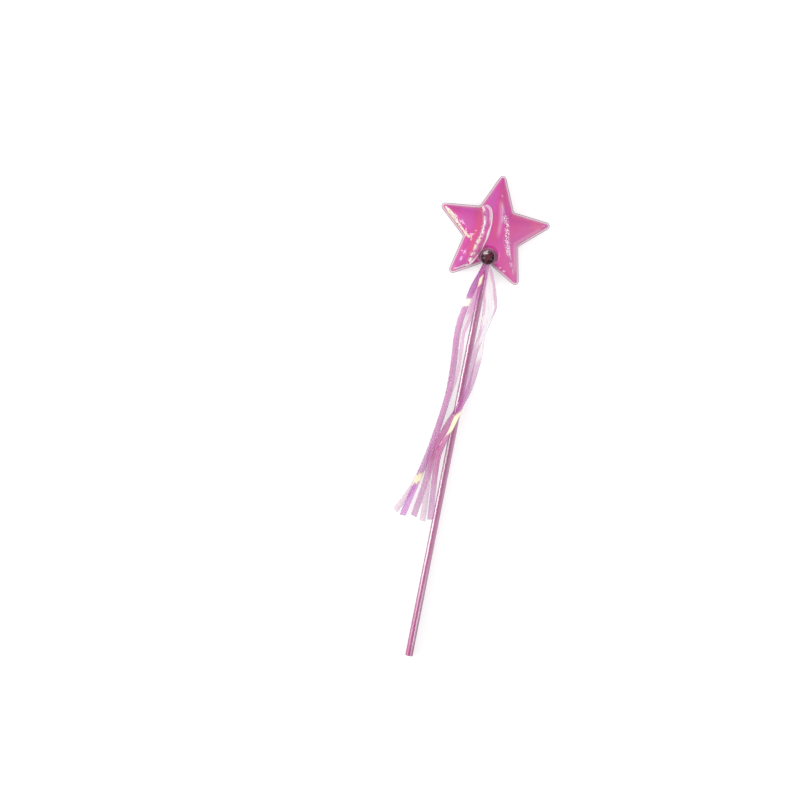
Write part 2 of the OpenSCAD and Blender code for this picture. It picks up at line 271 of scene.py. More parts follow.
def strip_rows(i, route):
    """Rows of points across streamer i, and how far along it each row lies."""
    middles = route[:, :3]
    along = lengths_along(middles)
    ahead = np.gradient(middles, axis=0)
    ahead /= np.linalg.norm(ahead, axis=1)[:, None]
    flat = np.cross((0, 0, 1), ahead)
    flat /= np.linalg.norm(flat, axis=1)[:, None]
    up = np.cross(ahead, flat)
    roll = np.radians(route[:, 3])[:, None]
    side = flat * np.cos(roll) + up * np.sin(roll)
    face = up * np.cos(roll) - flat * np.sin(roll)
    free = ease(along, FREE_FROM, FREE_FULL)
    # Each strip starts its waves at another phase.
    cup = CUP_MM * np.sin(along / CUP_RUN_MM + 2.1 * i)
    short, long = FLUTTER_RUNS_MM
    wave = FLUTTER_MM * (np.sin(along / short + 1.7 * i) + np.sin(along / long + 0.6 * i))
    lift = free[:, None] * (cup[:, None] * (0.5 - ACROSS ** 2) + wave[:, None] * ACROSS)
    over = side[:, None] * (ACROSS * STRIP_W / 2)[:, None]
    rows = middles[:, None] + over + face[:, None] * lift[..., None]
    rows[-1] += np.outer(ACROSS * END_SKEW_MM[i - 1], ahead[-1])
    kept = along >= TAB_LENGTH
    return rows[kept], along[kept]


def make_strip(i, route):
    """Streamer i as one film surface with a punched tab, and each point's place along and across."""
    rows, along = strip_rows(i, route)
    n = len(ACROSS)
    grid = np.arange(len(rows) * n).reshape(-1, n)
    corners = (grid[:-1, :-1], grid[1:, :-1], grid[1:, 1:], grid[:-1, 1:])
    faces = np.stack(corners, axis=-1).reshape(-1, 4).tolist()
    centre = np.array(pivots[f"streamer_{i}"])
    turns = np.stack([np.cos(TAB_TURNS), np.sin(TAB_TURNS), 0 * TAB_TURNS], axis=1)
    rim = np.concatenate([rows[0], centre + turns * STRIP_W / 2])
    out = rim - centre
    hole = centre + HOLE_R * out / np.linalg.norm(out, axis=1)[:, None]
    points = np.concatenate([rows.reshape(-1, 3), rim[n:], hole])
    rim_at = [*range(n), *range(grid.size, grid.size + len(TAB_TURNS))]
    hole_at = grid.size + len(TAB_TURNS)
    for k in range(len(rim_at)):
        j = (k + 1) % len(rim_at)
        faces.append((rim_at[k], rim_at[j], hole_at + j, hole_at + k))
    tab = np.zeros(len(points) - grid.size)
    along = np.concatenate([np.repeat(along, n), tab])
    across = np.concatenate([np.tile(ACROSS, len(rows)), tab])
    return add_piece(f"film_streamer_{i}", points, faces), along, across


strips = {}
strip_along = {}
strip_across = {}
for i, route in routes.items():
    strips[i], strip_along[i], strip_across[i] = make_strip(i, route)
    thicken(strips[i], STRIP_FILM, 0)
    print(f"{strips[i].name}: {len(strips[i].data.vertices)} points, film {STRIP_FILM} mm")

# %% [markdown]
# Iridescent film is clear polyester coated with layers thinner than a wave of light. It lets
# most light through, tints it, and throws the rest back in another colour, so one strip is
# pale and crossed strips are strong. The tint runs along each strip from a few stations: a
# distance, a tint and how much the film covers. Where the film would face the light, a painted
# highlight of white or cream is laid into the tint, and where it would turn away, a painted
# stretch of nearly clear film lets the white table show through, as a reflection of white
# would. Each such stretch has its ends, its sides as shares of half the width, and a slant,
# because the film rolls as it runs.

# %% Tint the strips along their length
# White, cream and clear serve only the painted flashes, which are painted highlights.
FILM_TINTS = {
    "violet": "#C444C4", "orchid": "#D264CC", "purple": "#CE5ED6", "magenta": "#D838B0",
    "plum": "#C24CB0", "rose": "#DC68C8", "mallow": "#CA70C0", "lilac": "#D888DC",
    "pink": "#E48AD4", "blush": "#DC9CCE", "petal": "#EAA0D5", "pale": "#EAACE2",
    "ash": "#D4B0CE", "cerise": "#C4289C", "white": "#FFFFFA", "cream": "#FFFADA", "clear": "#F8E8F4",
}
TINTS = {
    1: [(0, "violet", 0.95), (12, "violet", 0.9), (24, "orchid", 0.78), (40, "rose", 0.69),
        (60, "rose", 0.82), (86, "orchid", 0.74), (104, "blush", 0.5), (150, "blush", 0.5),
        (190, "ash", 0.43)],
    2: [(0, "violet", 0.95), (13, "violet", 0.88), (26, "orchid", 0.69), (48, "pale", 0.41),
        (66, "pale", 0.39), (90, "pink", 0.55), (125, "lilac", 0.6), (146, "lilac", 0.66),
        (164, "purple", 0.83)],
    3: [(0, "magenta", 1.0), (11, "magenta", 0.95), (30, "rose", 0.64), (60, "pink", 0.55),
        (100, "blush", 0.45), (134, "pink", 0.6), (165, "mallow", 0.78)],
    4: [(0, "pink", 0.5), (22, "petal", 0.75), (36, "petal", 0.7), (60, "blush", 0.5),
        (84, "mallow", 0.6), (108, "plum", 0.84), (128, "cerise", 1.0), (142, "cerise", 0.98),
        (156, "blush", 0.6), (190, "ash", 0.56)],
    5: [(0, "magenta", 0.75), (10, "rose", 0.62), (28, "blush", 0.75), (60, "blush", 0.65),
        (92, "mallow", 0.66), (112, "plum", 0.8), (132, "cerise", 1.0), (146, "cerise", 0.98),
        (160, "mallow", 0.75)],
}
WHOLE = 1.7
PAINTED_FLASHES = {
    1: [(29, 34, -WHOLE, WHOLE, 0.9, "white")],
    2: [(30, 35, -WHOLE, WHOLE, 0.9, "white"), (150, 157, -WHOLE, WHOLE, 1.8, "cream")],
    3: [(13, 19.5, -0.3, 0.4, 4.0, "cream"), (44, 84, -WHOLE, -0.25, 0.9, "clear")],
    4: [(8, 40, -WHOLE, -0.2, 2.0, "clear"), (46, 66, -0.7, 0.7, 2.0, "clear")],
    5: [(10, 54, 0.0, WHOLE, 2.0, "clear"), (106, 121, -0.25, WHOLE, 3.6, "cream")],
}
PAINTED_FLASH_COVER = {"white": 1.0, "cream": 1.0, "clear": 0.08}
PAINTED_FLASH_FADE = 0.8
CLEAR_FADE = 8
SIDE_FADE = 0.3
WANDER = 0.14
WANDER_RUN_MM = 2.7

for i, strip in strips.items():
    along = strip_along[i]
    across = strip_across[i]
    places = [place for place, _, _ in TINTS[i]]
    rows = np.array([(*linear(FILM_TINTS[name])[:3], cover) for _, name, cover in TINTS[i]])
    tint_and_painted_flash = np.stack([np.interp(along, places, rows[:, c]) for c in range(4)], axis=1)
    uneven = across + WANDER * np.sin(along / WANDER_RUN_MM + i)
    painted_flash = np.zeros(len(along))
    # Painted highlight: each stretch lays white, cream or nearly clear film over the tint.
    for low, high, left, right, slant, name in PAINTED_FLASHES[i]:
        cover = PAINTED_FLASH_COVER[name]
        slanted = along + slant * across
        fade = PAINTED_FLASH_FADE + CLEAR_FADE * (1 - cover)
        bright = between(slanted, low - fade, low, high, high + fade)
        bright *= between(uneven, left - SIDE_FADE, left, right, right + SIDE_FADE)
        tint_and_painted_flash += bright[:, None] * (np.array([*linear(FILM_TINTS[name])[:3], cover]) - tint_and_painted_flash)
        painted_flash = np.maximum(painted_flash, bright * cover)
    store(strip, "tint_and_painted_flash", tint_and_painted_flash, kind="FLOAT_COLOR")
    store(strip, "painted_flash", painted_flash)
    store(strip, "across", across)
    store(strip, "along", along)
    print(f"{strip.name}: cover {tint_and_painted_flash[:, 3].min():.2f} to {tint_and_painted_flash[:, 3].max():.2f}")

# %% [markdown]
# The film's finish is a clear plastic with a high index, smooth but not perfect. Its cover
# goes to the shader's alpha, which lets the table and the strips below show. Cut edges
# scatter light, so they are a little greyer and denser. Fine streaks run with the roll, about
# half a millimetre apart. A painted flash covers fully, as a mirror does, and is laid last in
# its own colour as a painted highlight.

# %% Finish: iridescent polyester film
STREAK_MM = 0.5
STREAK_RUN_MM = 22
STREAK_PALE = "#F0D4F2"
EDGE_GREY = "#BA92BC"
EDGE_DENSER = 0.5
FILM_COVER = 0.59
PAINTED_FLASH_MORE = 0.41

film, tree = new_finish("iridescent_polyester_film")
tint_and_painted_flash = add_node(tree, "Attribute", attribute_name="tint_and_painted_flash")
painted_flash, across, along = (add_node(tree, "Attribute", attribute_name=name).outputs["Fac"]
                        for name in ("painted_flash", "across", "along"))
streak_at = add_node(tree, "CombineXYZ", {
    "X": add_node(tree, "Math", {0: across, 1: STRIP_W / 2 / STREAK_MM}, operation="MULTIPLY"),
    "Y": add_node(tree, "Math", {0: along, 1: 1 / STREAK_RUN_MM}, operation="MULTIPLY"),
})
streak = add_node(tree, "TexNoise", {"Vector": streak_at, "Scale": 1.0, "Detail": 3.0})
pale = add_node(tree, "MapRange", {"Value": streak, "From Min": 0.44, "From Max": 0.66, "To Max": 0.42})
from_middle = add_node(tree, "Math", {0: across}, operation="ABSOLUTE")
edge = add_node(tree, "MapRange", {"Value": from_middle, "From Min": 0.8, "To Max": 0.5})
colour = tint_and_painted_flash.outputs["Color"]
# The last glaze is the painted flash, a painted highlight in its stored colour.
for mask, layer in ((pale, linear(STREAK_PALE)), (edge, linear(EDGE_GREY)), (painted_flash, tint_and_painted_flash.outputs["Color"])):
    colour = add_node(tree, "Mix", {"Factor": mask, "A": colour, "B": layer}, data_type="RGBA")
denser = add_node(tree, "Math", {0: edge, 1: EDGE_DENSER, 2: tint_and_painted_flash.outputs["Alpha"]}, operation="MULTIPLY_ADD")
mirror = add_node(tree, "Math", {0: painted_flash, 1: PAINTED_FLASH_MORE}, operation="MULTIPLY")
cover = add_node(tree, "Math", {0: denser, 1: FILM_COVER, 2: mirror}, operation="MULTIPLY_ADD",
                 use_clamp=True)
add_node(tree, "OutputMaterial", {"Surface": add_node(tree, "BsdfPrincipled", {
    "Base Color": colour, "Alpha": cover, "Roughness": 0.14, "IOR": 1.58, "Coat Weight": 0.4,
    "Coat Roughness": 0.05, "Thin Film Thickness": 420.0, "Thin Film IOR": 1.38,
})})
print("film finish:", len(tree.nodes), "nodes")

# %% [markdown]
# Each strip rides on its own body, so it swings with its joint, and it takes the place of the
# packed strip.

for i, strip in strips.items():
    body = f"streamer_{i}"
    strip.data.materials.append(film)
    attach(strip, body)
    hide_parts(body)
print("streamers declared:", len(strips))

# %% [markdown]
# ## The star
# Two sheets of film are laid face to face with soft filling between them, and a hot die cuts
# out the star and welds its edge in one stroke. The weld leaves a flat clear rim. The filling
# then pushes the film up, and because flat film can't stretch into a dome, it buckles into
# folds. So the star is made the same way: a flat star of triangles is held at its weld and
# under the rivet, and Blender's cloth blows the rest up.

# %% Outline of the star
POINT_R = 41.6
NOTCH_R = 19.4
TIP_ROUND = 2.4
NOTCH_ROUND = 1.5
RIM_W = 1.3
SECTOR = math.radians(36)
OUTLINE_STEPS = 2880
tip_half = math.atan2(NOTCH_R * math.sin(SECTOR), POINT_R - NOTCH_R * math.cos(SECTOR))
notch_half = SECTOR + tip_half
tip_r = POINT_R - TIP_ROUND / math.sin(tip_half) + TIP_ROUND
star_y = star_high.y - tip_r
seam_z = star_low.z


def folded(turn):
    """Angle from the nearest point of the star."""
    return np.abs((turn + SECTOR) % (2 * SECTOR) - SECTOR)


def polar(x, y):
    """Distance from the star's centre, and the turn from its top point."""
    return np.hypot(x, y), np.arctan2(-x, y)


def edge_r(a, inset):
    """Radius of the star's edge at an angle from a point of the star, drawn in by an inset."""
    b = SECTOR - a
    tip = POINT_R - inset / math.sin(tip_half)
    notch = NOTCH_R - inset / math.sin(notch_half)
    tip_arc = max(TIP_ROUND - inset, TIP_ROUND / 4)
    notch_arc = NOTCH_ROUND + inset
    tip_mid = tip - tip_arc / math.sin(tip_half)
    notch_mid = notch + notch_arc / math.sin(notch_half)
    tip_end = math.atan2(tip_arc * math.cos(tip_half), tip_mid + tip_arc * math.sin(tip_half))
    notch_end = math.atan2(notch_arc * math.cos(notch_half), notch_mid - notch_arc * math.sin(notch_half))
    straight = tip * notch * math.sin(SECTOR) / (tip * np.sin(a) + notch * np.sin(b))
    at_tip = tip_mid * np.cos(a) + np.sqrt(np.maximum(tip_arc ** 2 - (tip_mid * np.sin(a)) ** 2, 0))
    in_notch = np.sqrt(np.maximum(notch_arc ** 2 - (notch_mid * np.sin(b)) ** 2, 0))
    at_notch = notch_mid * np.cos(b) - in_notch
    return np.where(a < tip_end, at_tip, np.where(b < notch_end, at_notch, straight))


def inset_of(x, y):
    """Distance in from the star's edge."""
    r, turn = polar(x, y)
    a = folded(turn)
    u, v = r * np.cos(a), r * np.sin(a)
    along = (POINT_R - u) * math.cos(tip_half) + v * math.sin(tip_half)
    straight = (POINT_R - u) * math.sin(tip_half) - v * math.cos(tip_half)
    span = math.hypot(POINT_R - NOTCH_R * math.cos(SECTOR), NOTCH_R * math.sin(SECTOR))
    tip_mid = POINT_R - TIP_ROUND / math.sin(tip_half)
    notch_mid = NOTCH_R + NOTCH_ROUND / math.sin(notch_half)
    at_tip = TIP_ROUND - np.hypot(u - tip_mid, v)
    at_notch = np.hypot(u - notch_mid * math.cos(SECTOR), v - notch_mid * math.sin(SECTOR)) - NOTCH_ROUND
    near_tip = along < TIP_ROUND / math.tan(tip_half)
    near_notch = along > span - NOTCH_ROUND / math.tan(notch_half)
    return np.where(near_tip, at_tip, np.where(near_notch, at_notch, straight))


def outline(inset, pitch):
    """Points spaced evenly round the star, drawn in by an inset."""
    turn = np.linspace(0, 2 * math.pi, OUTLINE_STEPS + 1)
    r = edge_r(folded(turn), inset)
    fine = np.stack([-r * np.sin(turn), r * np.cos(turn)], axis=1)
    run = lengths_along(fine)
    count = int(run[-1] / pitch)
    places = np.arange(count) * run[-1] / count
    return np.stack([np.interp(places, run, fine[:, c]) for c in range(2)], axis=1)


print(f"star centre at y {star_y:.2f} mm, points {tip_r:.2f} mm out, weld at z {seam_z:.2f} mm")

# %% [markdown]
# Rings of points follow the edge, close together where the film turns up from the weld, and
# an even field of points fills the rest. Blender's own Delaunay function joins them.

# %% Lay out the flat film
FIELD_MM = 0.7
RIM_INSETS = [0, 0.2, 0.45, 0.85, 1.1, RIM_W, 1.6, 2.0, 2.5, 3.1]
KEEP_INSIDE = 1
SAME_POINT_MM = 1e-5


def flat_film():
    """Points and triangles of the flat star."""
    rings = [outline(inset, FIELD_MM) for inset in RIM_INSETS]
    edges = []
    start = 0
    for ring in rings:
        edges += [(start + k, start + (k + 1) % len(ring)) for k in range(len(ring))]
        start += len(ring)
    row_h = FIELD_MM * math.sqrt(3) / 2
    reach = int(POINT_R / row_h)
    field = np.array([((i + 0.5 * (j % 2)) * FIELD_MM, j * row_h)
                      for j in range(-reach, reach + 1) for i in range(-reach - 8, reach + 9)])
    field = field[inset_of(*field.T) > RIM_INSETS[-1] + 0.6 * FIELD_MM]
    points = [Vector(p) for p in np.concatenate([*rings, field])]
    joined = geometry.delaunay_2d_cdt(points, edges, [], KEEP_INSIDE, SAME_POINT_MM)
    return np.array([tuple(p) for p in joined[0]]), [tuple(f) for f in joined[2]]


film_xy, film_faces = flat_film()
print(f"flat film: {len(film_xy)} points, {len(film_faces)} triangles")

# %% [markdown]
# The film starts as a low dome of the solid's own shape. It is dished under the gem's cup,
# and its mouth at the lower notch is held open by the stick. The rim has a rounded outer
# edge and a pressed line where the weld ends, which will catch two thin lines of light.

# %% Shape the film before the air goes in
FILM_T = 0.12
FRONT_RISE = 7.4
FILM_STEP = 0.3
SOFT_SHARE = 0.34
SEAT_GAP = 0.18
SEAT_R = 4.2
CUP_BASE = 0.7
CUP_GAP = 0.3
DISH_EDGE = 6.0
OUTER_SLOPE = 0.8
MOUTH_HALF_W = 4.5
MOUTH_FADE = 6
RIM_T = 0.16
WELD_LINE_AT = 1.1
WELD_LINE_W = 0.16
WELD_LINE_DEPTH = 0.12
seat_top = first_layer_z - SEAT_GAP
cup_z = gem_low.z - CUP_BASE
rivet_xy = np.array([rivet_x, rivet_y - star_y])


def out_share(x, y):
    """How far out a point lies between the star's middle, 0, and the weld, 1."""
    r, turn = polar(x, y)
    edge = edge_r(folded(turn), RIM_W)
    tip, notch = edge_r(np.array([0, SECTOR]), RIM_W)
    soft = (tip + notch) / 2 + SOFT_SHARE * (tip - notch) * np.cos(5 * turn)
    lean = np.where(np.abs(edge - soft) < 1e-6, 1e-6, edge - soft)
    share = (np.sqrt(np.maximum(soft ** 2 + 4 * lean * r, 0)) - soft) / (2 * lean)
    return np.clip(share, 0, 1)


def from_rivet(x, y):
    """Distance from the rivet's axis, in the star's plane."""
    return np.hypot(x - rivet_xy[0], y - rivet_xy[1])


def mouth(x, y):
    """1 over the stick in the star's mouth, fading to 0 beside it and up the star."""
    beside = np.cos(np.clip(x / MOUTH_HALF_W, -1, 1) * math.pi / 2) ** 2
    return beside * np.clip(-y / MOUTH_FADE, 0, 1)


def puff(x, y):
    """Share of the crown's height: steep at the weld and nearly flat in the middle."""
    return np.sqrt(np.sin((1 - out_share(x, y)) * math.pi / 2))


def rim_height(inset):
    """Profile of the weld: a rounded edge, a flat and a pressed line before the film rises."""
    rounded = RIM_T + RIM_T * np.sqrt(ease(inset, -0.02, 0.4))
    return rounded - WELD_LINE_DEPTH * np.exp(-((inset - WELD_LINE_AT) / WELD_LINE_W) ** 2)


def front_height(x, y):
    """Height of the front film's outer face above the weld."""
    away = from_rivet(x, y)
    seat = seat_top - FILM_STEP - seam_z
    slope = (cup_z - CUP_GAP - seat_top) / (DISH_EDGE - SEAT_R)
    dish = seat + slope * np.maximum(0, away - SEAT_R) + OUTER_SLOPE * np.maximum(0, away - DISH_EDGE)
    rise = np.maximum(np.minimum(FRONT_RISE * puff(x, y), dish), seat * mouth(x, y))
    return rise + rim_height(inset_of(x, y))


film_x, film_y = film_xy.T
film_inset = inset_of(film_x, film_y)
start_z = seam_z + front_height(film_x, film_y)
print(f"front film: {start_z.min():.2f} to {start_z.max():.2f} mm above the table")

# %% [markdown]
# The cloth works on a copy twenty times too large, because Blender's cloth is tuned for
# things the size of clothes. A film that is pressed from below swells where it is slack.
# Its movement is smoothed and capped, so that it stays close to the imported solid, and one
# round of subdivision then makes it fine enough for creases.

# %% Blow up the film
SIM_SCALE = 20
SIM_FRAMES = 18
FILM_CLOTH = {
    "quality": 6, "mass": 0.25, "tension_stiffness": 30, "compression_stiffness": 30, "shear_stiffness": 12,
    "bending_stiffness": 0.6, "vertex_group_mass": "held", "shrink_min": -0.035, "use_pressure": True,
    "uniform_pressure_force": 2.5,
}
SMOOTH_ROUNDS = 10
CAP_MM = 0.6
CAP_FULL_INSET = 4
CAP_FULL_FROM_RIVET = 12
HELD_AT_RIVET = 6.2
HAIR_MM = 0.01


def blown(points, faces, held):
    """Points of a film after pressure has lifted what isn't held."""
    sheet = add_piece("film_under_pressure", points * SIM_SCALE, faces)
    group = sheet.vertex_groups.new(name="held")
    group.add([int(k) for k in np.flatnonzero(held)], 1.0, "REPLACE")
    cloth = sheet.modifiers.new("pressure", "CLOTH")
    for name, value in FILM_CLOTH.items():
        setattr(cloth.settings, name, value)
    cloth.settings.effector_weights.gravity = 0
    cloth.collision_settings.use_collision = False
    for step in range(1, SIM_FRAMES + 1):
        scene.frame_set(step)
    result = sheet.evaluated_get(bpy.context.evaluated_depsgraph_get())
    moved = np.empty(3 * len(points))
    result.data.vertices.foreach_get("co", moved)
    bpy.data.objects.remove(sheet)
    scene.frame_set(1)
    return moved.reshape(-1, 3) / (MM * SIM_SCALE)


def smoothed(values, faces, rounds):
    """Each point's value drawn towards its neighbours', a few times over."""
    pairs = np.array([(a, b) for face in faces for a, b in zip(face, face[1:] + face[:1])])
    count = np.bincount(pairs[:, 0], minlength=len(values))[:, None]
    for _ in range(rounds):
        beside = np.zeros_like(values)
        np.add.at(beside, pairs[:, 0], values[pairs[:, 1]])
        values = (values + beside / np.maximum(count, 1)) / 2
    return values


def refined(points, faces):
    """Points, faces and normals after one round of subdivision."""
    rough = add_piece("rough_film", points, faces)
    rounds = rough.modifiers.new("finer", "SUBSURF")
    rounds.levels = 1
    mesh = rough.evaluated_get(bpy.context.evaluated_depsgraph_get()).to_mesh()
    found = np.empty((2, 3 * len(mesh.vertices)))
    mesh.vertices.foreach_get("co", found[0])
    mesh.vertices.foreach_get("normal", found[1])
    finer = [tuple(face.vertices) for face in mesh.polygons]
    bpy.data.objects.remove(rough)
    places, normals = found.reshape(2, -1, 3)
    return places / MM, finer, normals


start = np.stack([film_x, film_y + star_y, start_z], axis=1)
held = (film_inset <= RIM_W + HAIR_MM) | (from_rivet(film_x, film_y) < HELD_AT_RIVET)
front = start
moved = smoothed(blown(start, film_faces, held) - start, film_faces, SMOOTH_ROUNDS)
reach = np.linalg.norm(moved, axis=1)
room = CAP_MM * ease(film_inset, RIM_W, CAP_FULL_INSET)
room *= ease(from_rivet(film_x, film_y), HELD_AT_RIVET, CAP_FULL_FROM_RIVET)
kept = room * np.tanh(reach / np.maximum(room, 1e-6))
front = start + moved * (kept / np.maximum(reach, 1e-9))[:, None]
print(f"pressure moved the film {np.median(reach):.2f} mm as a rule, {reach.max():.2f} at most")
front_points, front_faces, front_normals = refined(front, film_faces)
print(f"front film: {len(front_points)} points, top at {front_points[:, 2].max():.2f} mm")

# %% [markdown]
# The folds that the eye picks out are pressed in afterwards, where they run on the real star.
# The longest is a loose pleat that winds from the upper left notch, past the gem, to the lower
# left edge: a raised band with a crinkled lip on its left and a crisp one on its right. It is
# traced as a line from the star's centre with a half width. Small cross wrinkles are strung
# along other lines, and noise breaks them up, because no two creases in film are alike.

# %% Tools for folds
def rough(xy, size_mm, seed):
    """Smooth noise between about -0.7 and 0.7, with features of a given size."""
    return np.array([noise.noise(Vector((x / size_mm, y / size_mm, seed))) for x, y in xy])


def near_line(xy, line):
    """Distance to a line, the share of its length nearest, and the side: -1 or 1."""
    line = np.asarray(line, float)[:, :2]
    ahead = np.diff(line, axis=0)
    span = np.linalg.norm(ahead, axis=1)
    from_start = xy[:, None] - line[None, :-1]
    t = np.clip((from_start * ahead).sum(2) / span ** 2, 0, 1)
    off = from_start - t[..., None] * ahead
    far = np.linalg.norm(off, axis=2)
    best = far.argmin(1)
    row = np.arange(len(xy))
    side = ahead[best, 0] * off[row, best, 1] - ahead[best, 1] * off[row, best, 0]
    share = (lengths_along(line)[best] + t[row, best] * span[best]) / span.sum()
    return far[row, best], share, np.sign(side)


def near_tapered(xy, line):
    """As near_line, and the half width there of a line that has one in each row."""
    far, share, side = near_line(xy, line)
    run = lengths_along(line[:, :2])
    return far, share, side, np.interp(share, run / run[-1], line[:, 2])


def ridge(far, width):
    """A rounded ridge of a given half width, 1 on its line."""
    return np.exp(-(far / width) ** 2)


def wrinkles(xy, line, count, reach_mm, lean_deg, width_mm, scatter_mm, seed):
    """Short cross wrinkles strung along a line, each 1 at its middle."""
    run = lengths_along(line[:, :2])
    found = np.zeros(len(xy))
    # Sines of uneven steps stand in for chance, so that every run is the same.
    for k in range(count):
        place = run[-1] * (k + 0.5 + 0.4 * math.sin(seed + 3.7 * k)) / count
        middle = np.array([np.interp(place, run, line[:, c]) for c in (0, 1)])
        middle += scatter_mm * np.array([math.sin(seed + 7.9 * k), math.sin(seed + 1.3 * k)])
        lean = math.radians(lean_deg + 34 * math.sin(seed + 2.3 * k))
        reach = reach_mm * (0.5 + 0.22 * math.sin(seed + 5.1 * k))
        arm = reach * np.array([math.cos(lean), math.sin(lean)])
        around = np.linalg.norm(xy - middle, axis=1) < 2 * reach_mm
        far, _, _ = near_line(xy[around], [middle - arm, middle + arm])
        found[around] = np.maximum(found[around], ridge(far, width_mm))
    return found


def flecks(xy, line, half_mm, lean_deg, size_mm, seed):
    """Bright flecks scattered along a line, each longer than it is wide."""
    c, s = math.cos(math.radians(lean_deg)), math.sin(math.radians(lean_deg))
    turned = xy @ np.array([[c, -2 * s], [s, 2 * c]])
    far, _, _ = near_line(xy, line)
    return ridge(far, half_mm) * ease(rough(turned, size_mm, seed), 0.06, 0.2)


# %% [markdown]
# Each fold is a height at every point: the pleat's band, its two lips with short barbs across
# them, a soft ridge down the middle and a line of flecks on the right. The sum is pushed out
# along the film's own normals, and fades to nothing at the weld.

# %% Press the folds into the front film
PLEAT = [(-8.4, 16.8, 0.6), (-7.8, 15.6, 1.5), (-5.7, 12.6, 2.5), (-4.3, 6, 2.3), (-4.2, 1, 2.0),
         (-4.8, -4, 2.1), (-6.1, -8, 2.3), (-6.9, -11.2, 2.2), (-8.1, -15.2, 1.9), (-9.7, -20, 1.2),
         (-11.3, -23.2, 0.6), (-13.6, -26.5, 0.3)]
PLEAT_RISE = 0.35
LIP_RISE = 0.4
BARB_RISE = 0.15
SOFT_RIDGE = [(1.2, 23), (1.9, 19), (3.8, 8.4), (4.1, -5.4)]
SOFT_RISE = 0.3
CROSS_LINE = [(6.4, 11), (8.4, 5.5), (9.5, 0.8), (10, -4), (11.4, -8), (13, -12.4)]
FLECK_RISE = 0.05
FOLDS_FADE_MM = 0.8

front_xy = front_points[:, :2] - (0, star_y)
front_inset = inset_of(*front_xy.T)
inner = ease(front_inset, RIM_W, RIM_W + FOLDS_FADE_MM)
broad = rough(front_xy, size_mm=2.2, seed=3.0)
fine = rough(front_xy, size_mm=0.8, seed=9.0)

pleat_line = smooth_route(PLEAT)
pleat_far, pleat_at, pleat_side, pleat_half = near_tapered(front_xy, pleat_line)
off_lip = pleat_far - pleat_half
on_left = pleat_side < 0
pleat_ends = between(pleat_at, 0.0, 0.02, 0.95, 1.0)
band = 1 - ease(pleat_far / pleat_half, 0.85, 1.15)
left_lip = ridge(off_lip - 0.4 * fine, 0.55) * on_left * (0.8 + 0.7 * broad)
right_lip = ridge(off_lip, 0.42) * ~on_left
inner_lip = ridge(off_lip + 1.0, 0.3) * ~on_left * (1 - ease(pleat_at, 0.2, 0.32))
barbs = wrinkles(front_xy, pleat_line - (1.9, 0, 0), count=31, reach_mm=1.9, lean_deg=12, width_mm=0.3,
                 scatter_mm=0.7, seed=4.0) * ridge(off_lip, 1.1)
press = PLEAT_RISE * band + LIP_RISE * (left_lip + right_lip + 0.7 * inner_lip) + BARB_RISE * barbs
press = press * pleat_ends

soft_far, soft_at, _ = near_line(front_xy, smooth_route(SOFT_RIDGE))
soft = ridge(soft_far, 1.3) * between(soft_at, 0, 0.2, 0.75, 1)
cross = flecks(front_xy, smooth_route(CROSS_LINE), half_mm=1.25, lean_deg=50, size_mm=1.1, seed=5.0)
press += SOFT_RISE * soft + FLECK_RISE * cross
front_points = front_points + front_normals * (press * inner)[:, None]
print(f"folds: up to {press.max():.2f} mm high and {-press.min():.2f} mm deep")

# %% [markdown]
# What the finish needs is stored on the points. White lies on the lips of the pleat and the
# flecks: partly film that turns white where it is creased, partly painted highlight. A line
# along the lower left edge and a few sparks are painted highlights. The cream band on the left
# arm is a painted glint, where the film stands steeply and faces the window. It is crossed by
# fine dark crinkles of painted shade and frays out at the notch, and the pleat's lower lip has
# painted cream glint too. Next to a bright lip lies a thin line of painted shade, as beside
# any fold; more painted shade runs along the glint's outer edge and inside the right lip.

# %% Bright and dark lines of the front film
GLINT = [(-33.6, 10.7, 0.5), (-31, 8.6, 1.1), (-28.4, 6.3, 1.3), (-23.6, 2.0, 0.85), (-18.9, -2.5, 0.55),
         (-15.9, -5.1, 0.65), (-12.5, -7.1, 0.3)]
LOW_LIGHT = [(-20.4, -28.7), (-14.2, -25.1), (-11.9, -23.8)]
SPARKS = [(-17.3, -15.7, 0.5), (-11.1, -1.3, 0.45), (9.2, -21.9, 0.6), (12.2, -23.8, 0.7),
          (20.6, -29.6, 0.8), (-20.6, -29.2, 0.8)]
LOW_EDGE_AT = 1.25

# Shares of the pleat's length: where its lip is thick, where it fans out and where it is cream.
THICK_AT, FAN_AT, CREAM_AT = 0.42, 0.9, 0.66
thick = ridge(pleat_at - THICK_AT, 0.07)
fan = ridge(pleat_at - FAN_AT, 0.07)
cream_part = ridge(pleat_at - CREAM_AT, 0.09)
low_part = ease(pleat_at, THICK_AT, 0.56) * pleat_ends
torn = 0.7 * fine + broad
right_line = ridge(off_lip + 0.3 * thick + 0.5 * fan, 0.32 + 0.35 * thick + 0.5 * fan) * ~on_left
lip_half = 0.95 + 0.6 * rough(front_xy, size_mm=3.0, seed=31.0)
left_line = ridge(off_lip - 0.5 * fine, lip_half) * on_left * ease(torn, -0.45, 0.1)
wide_lip = ridge(off_lip + 0.6, 0.85) * on_left * low_part * ease(torn, -0.4, 0.15)
low_far, low_at, _ = near_line(front_xy, LOW_LIGHT)
low_line = ridge(low_far, 0.5 + 0.5 * fine) * between(low_at, 0, 0.1, 0.85, 1)
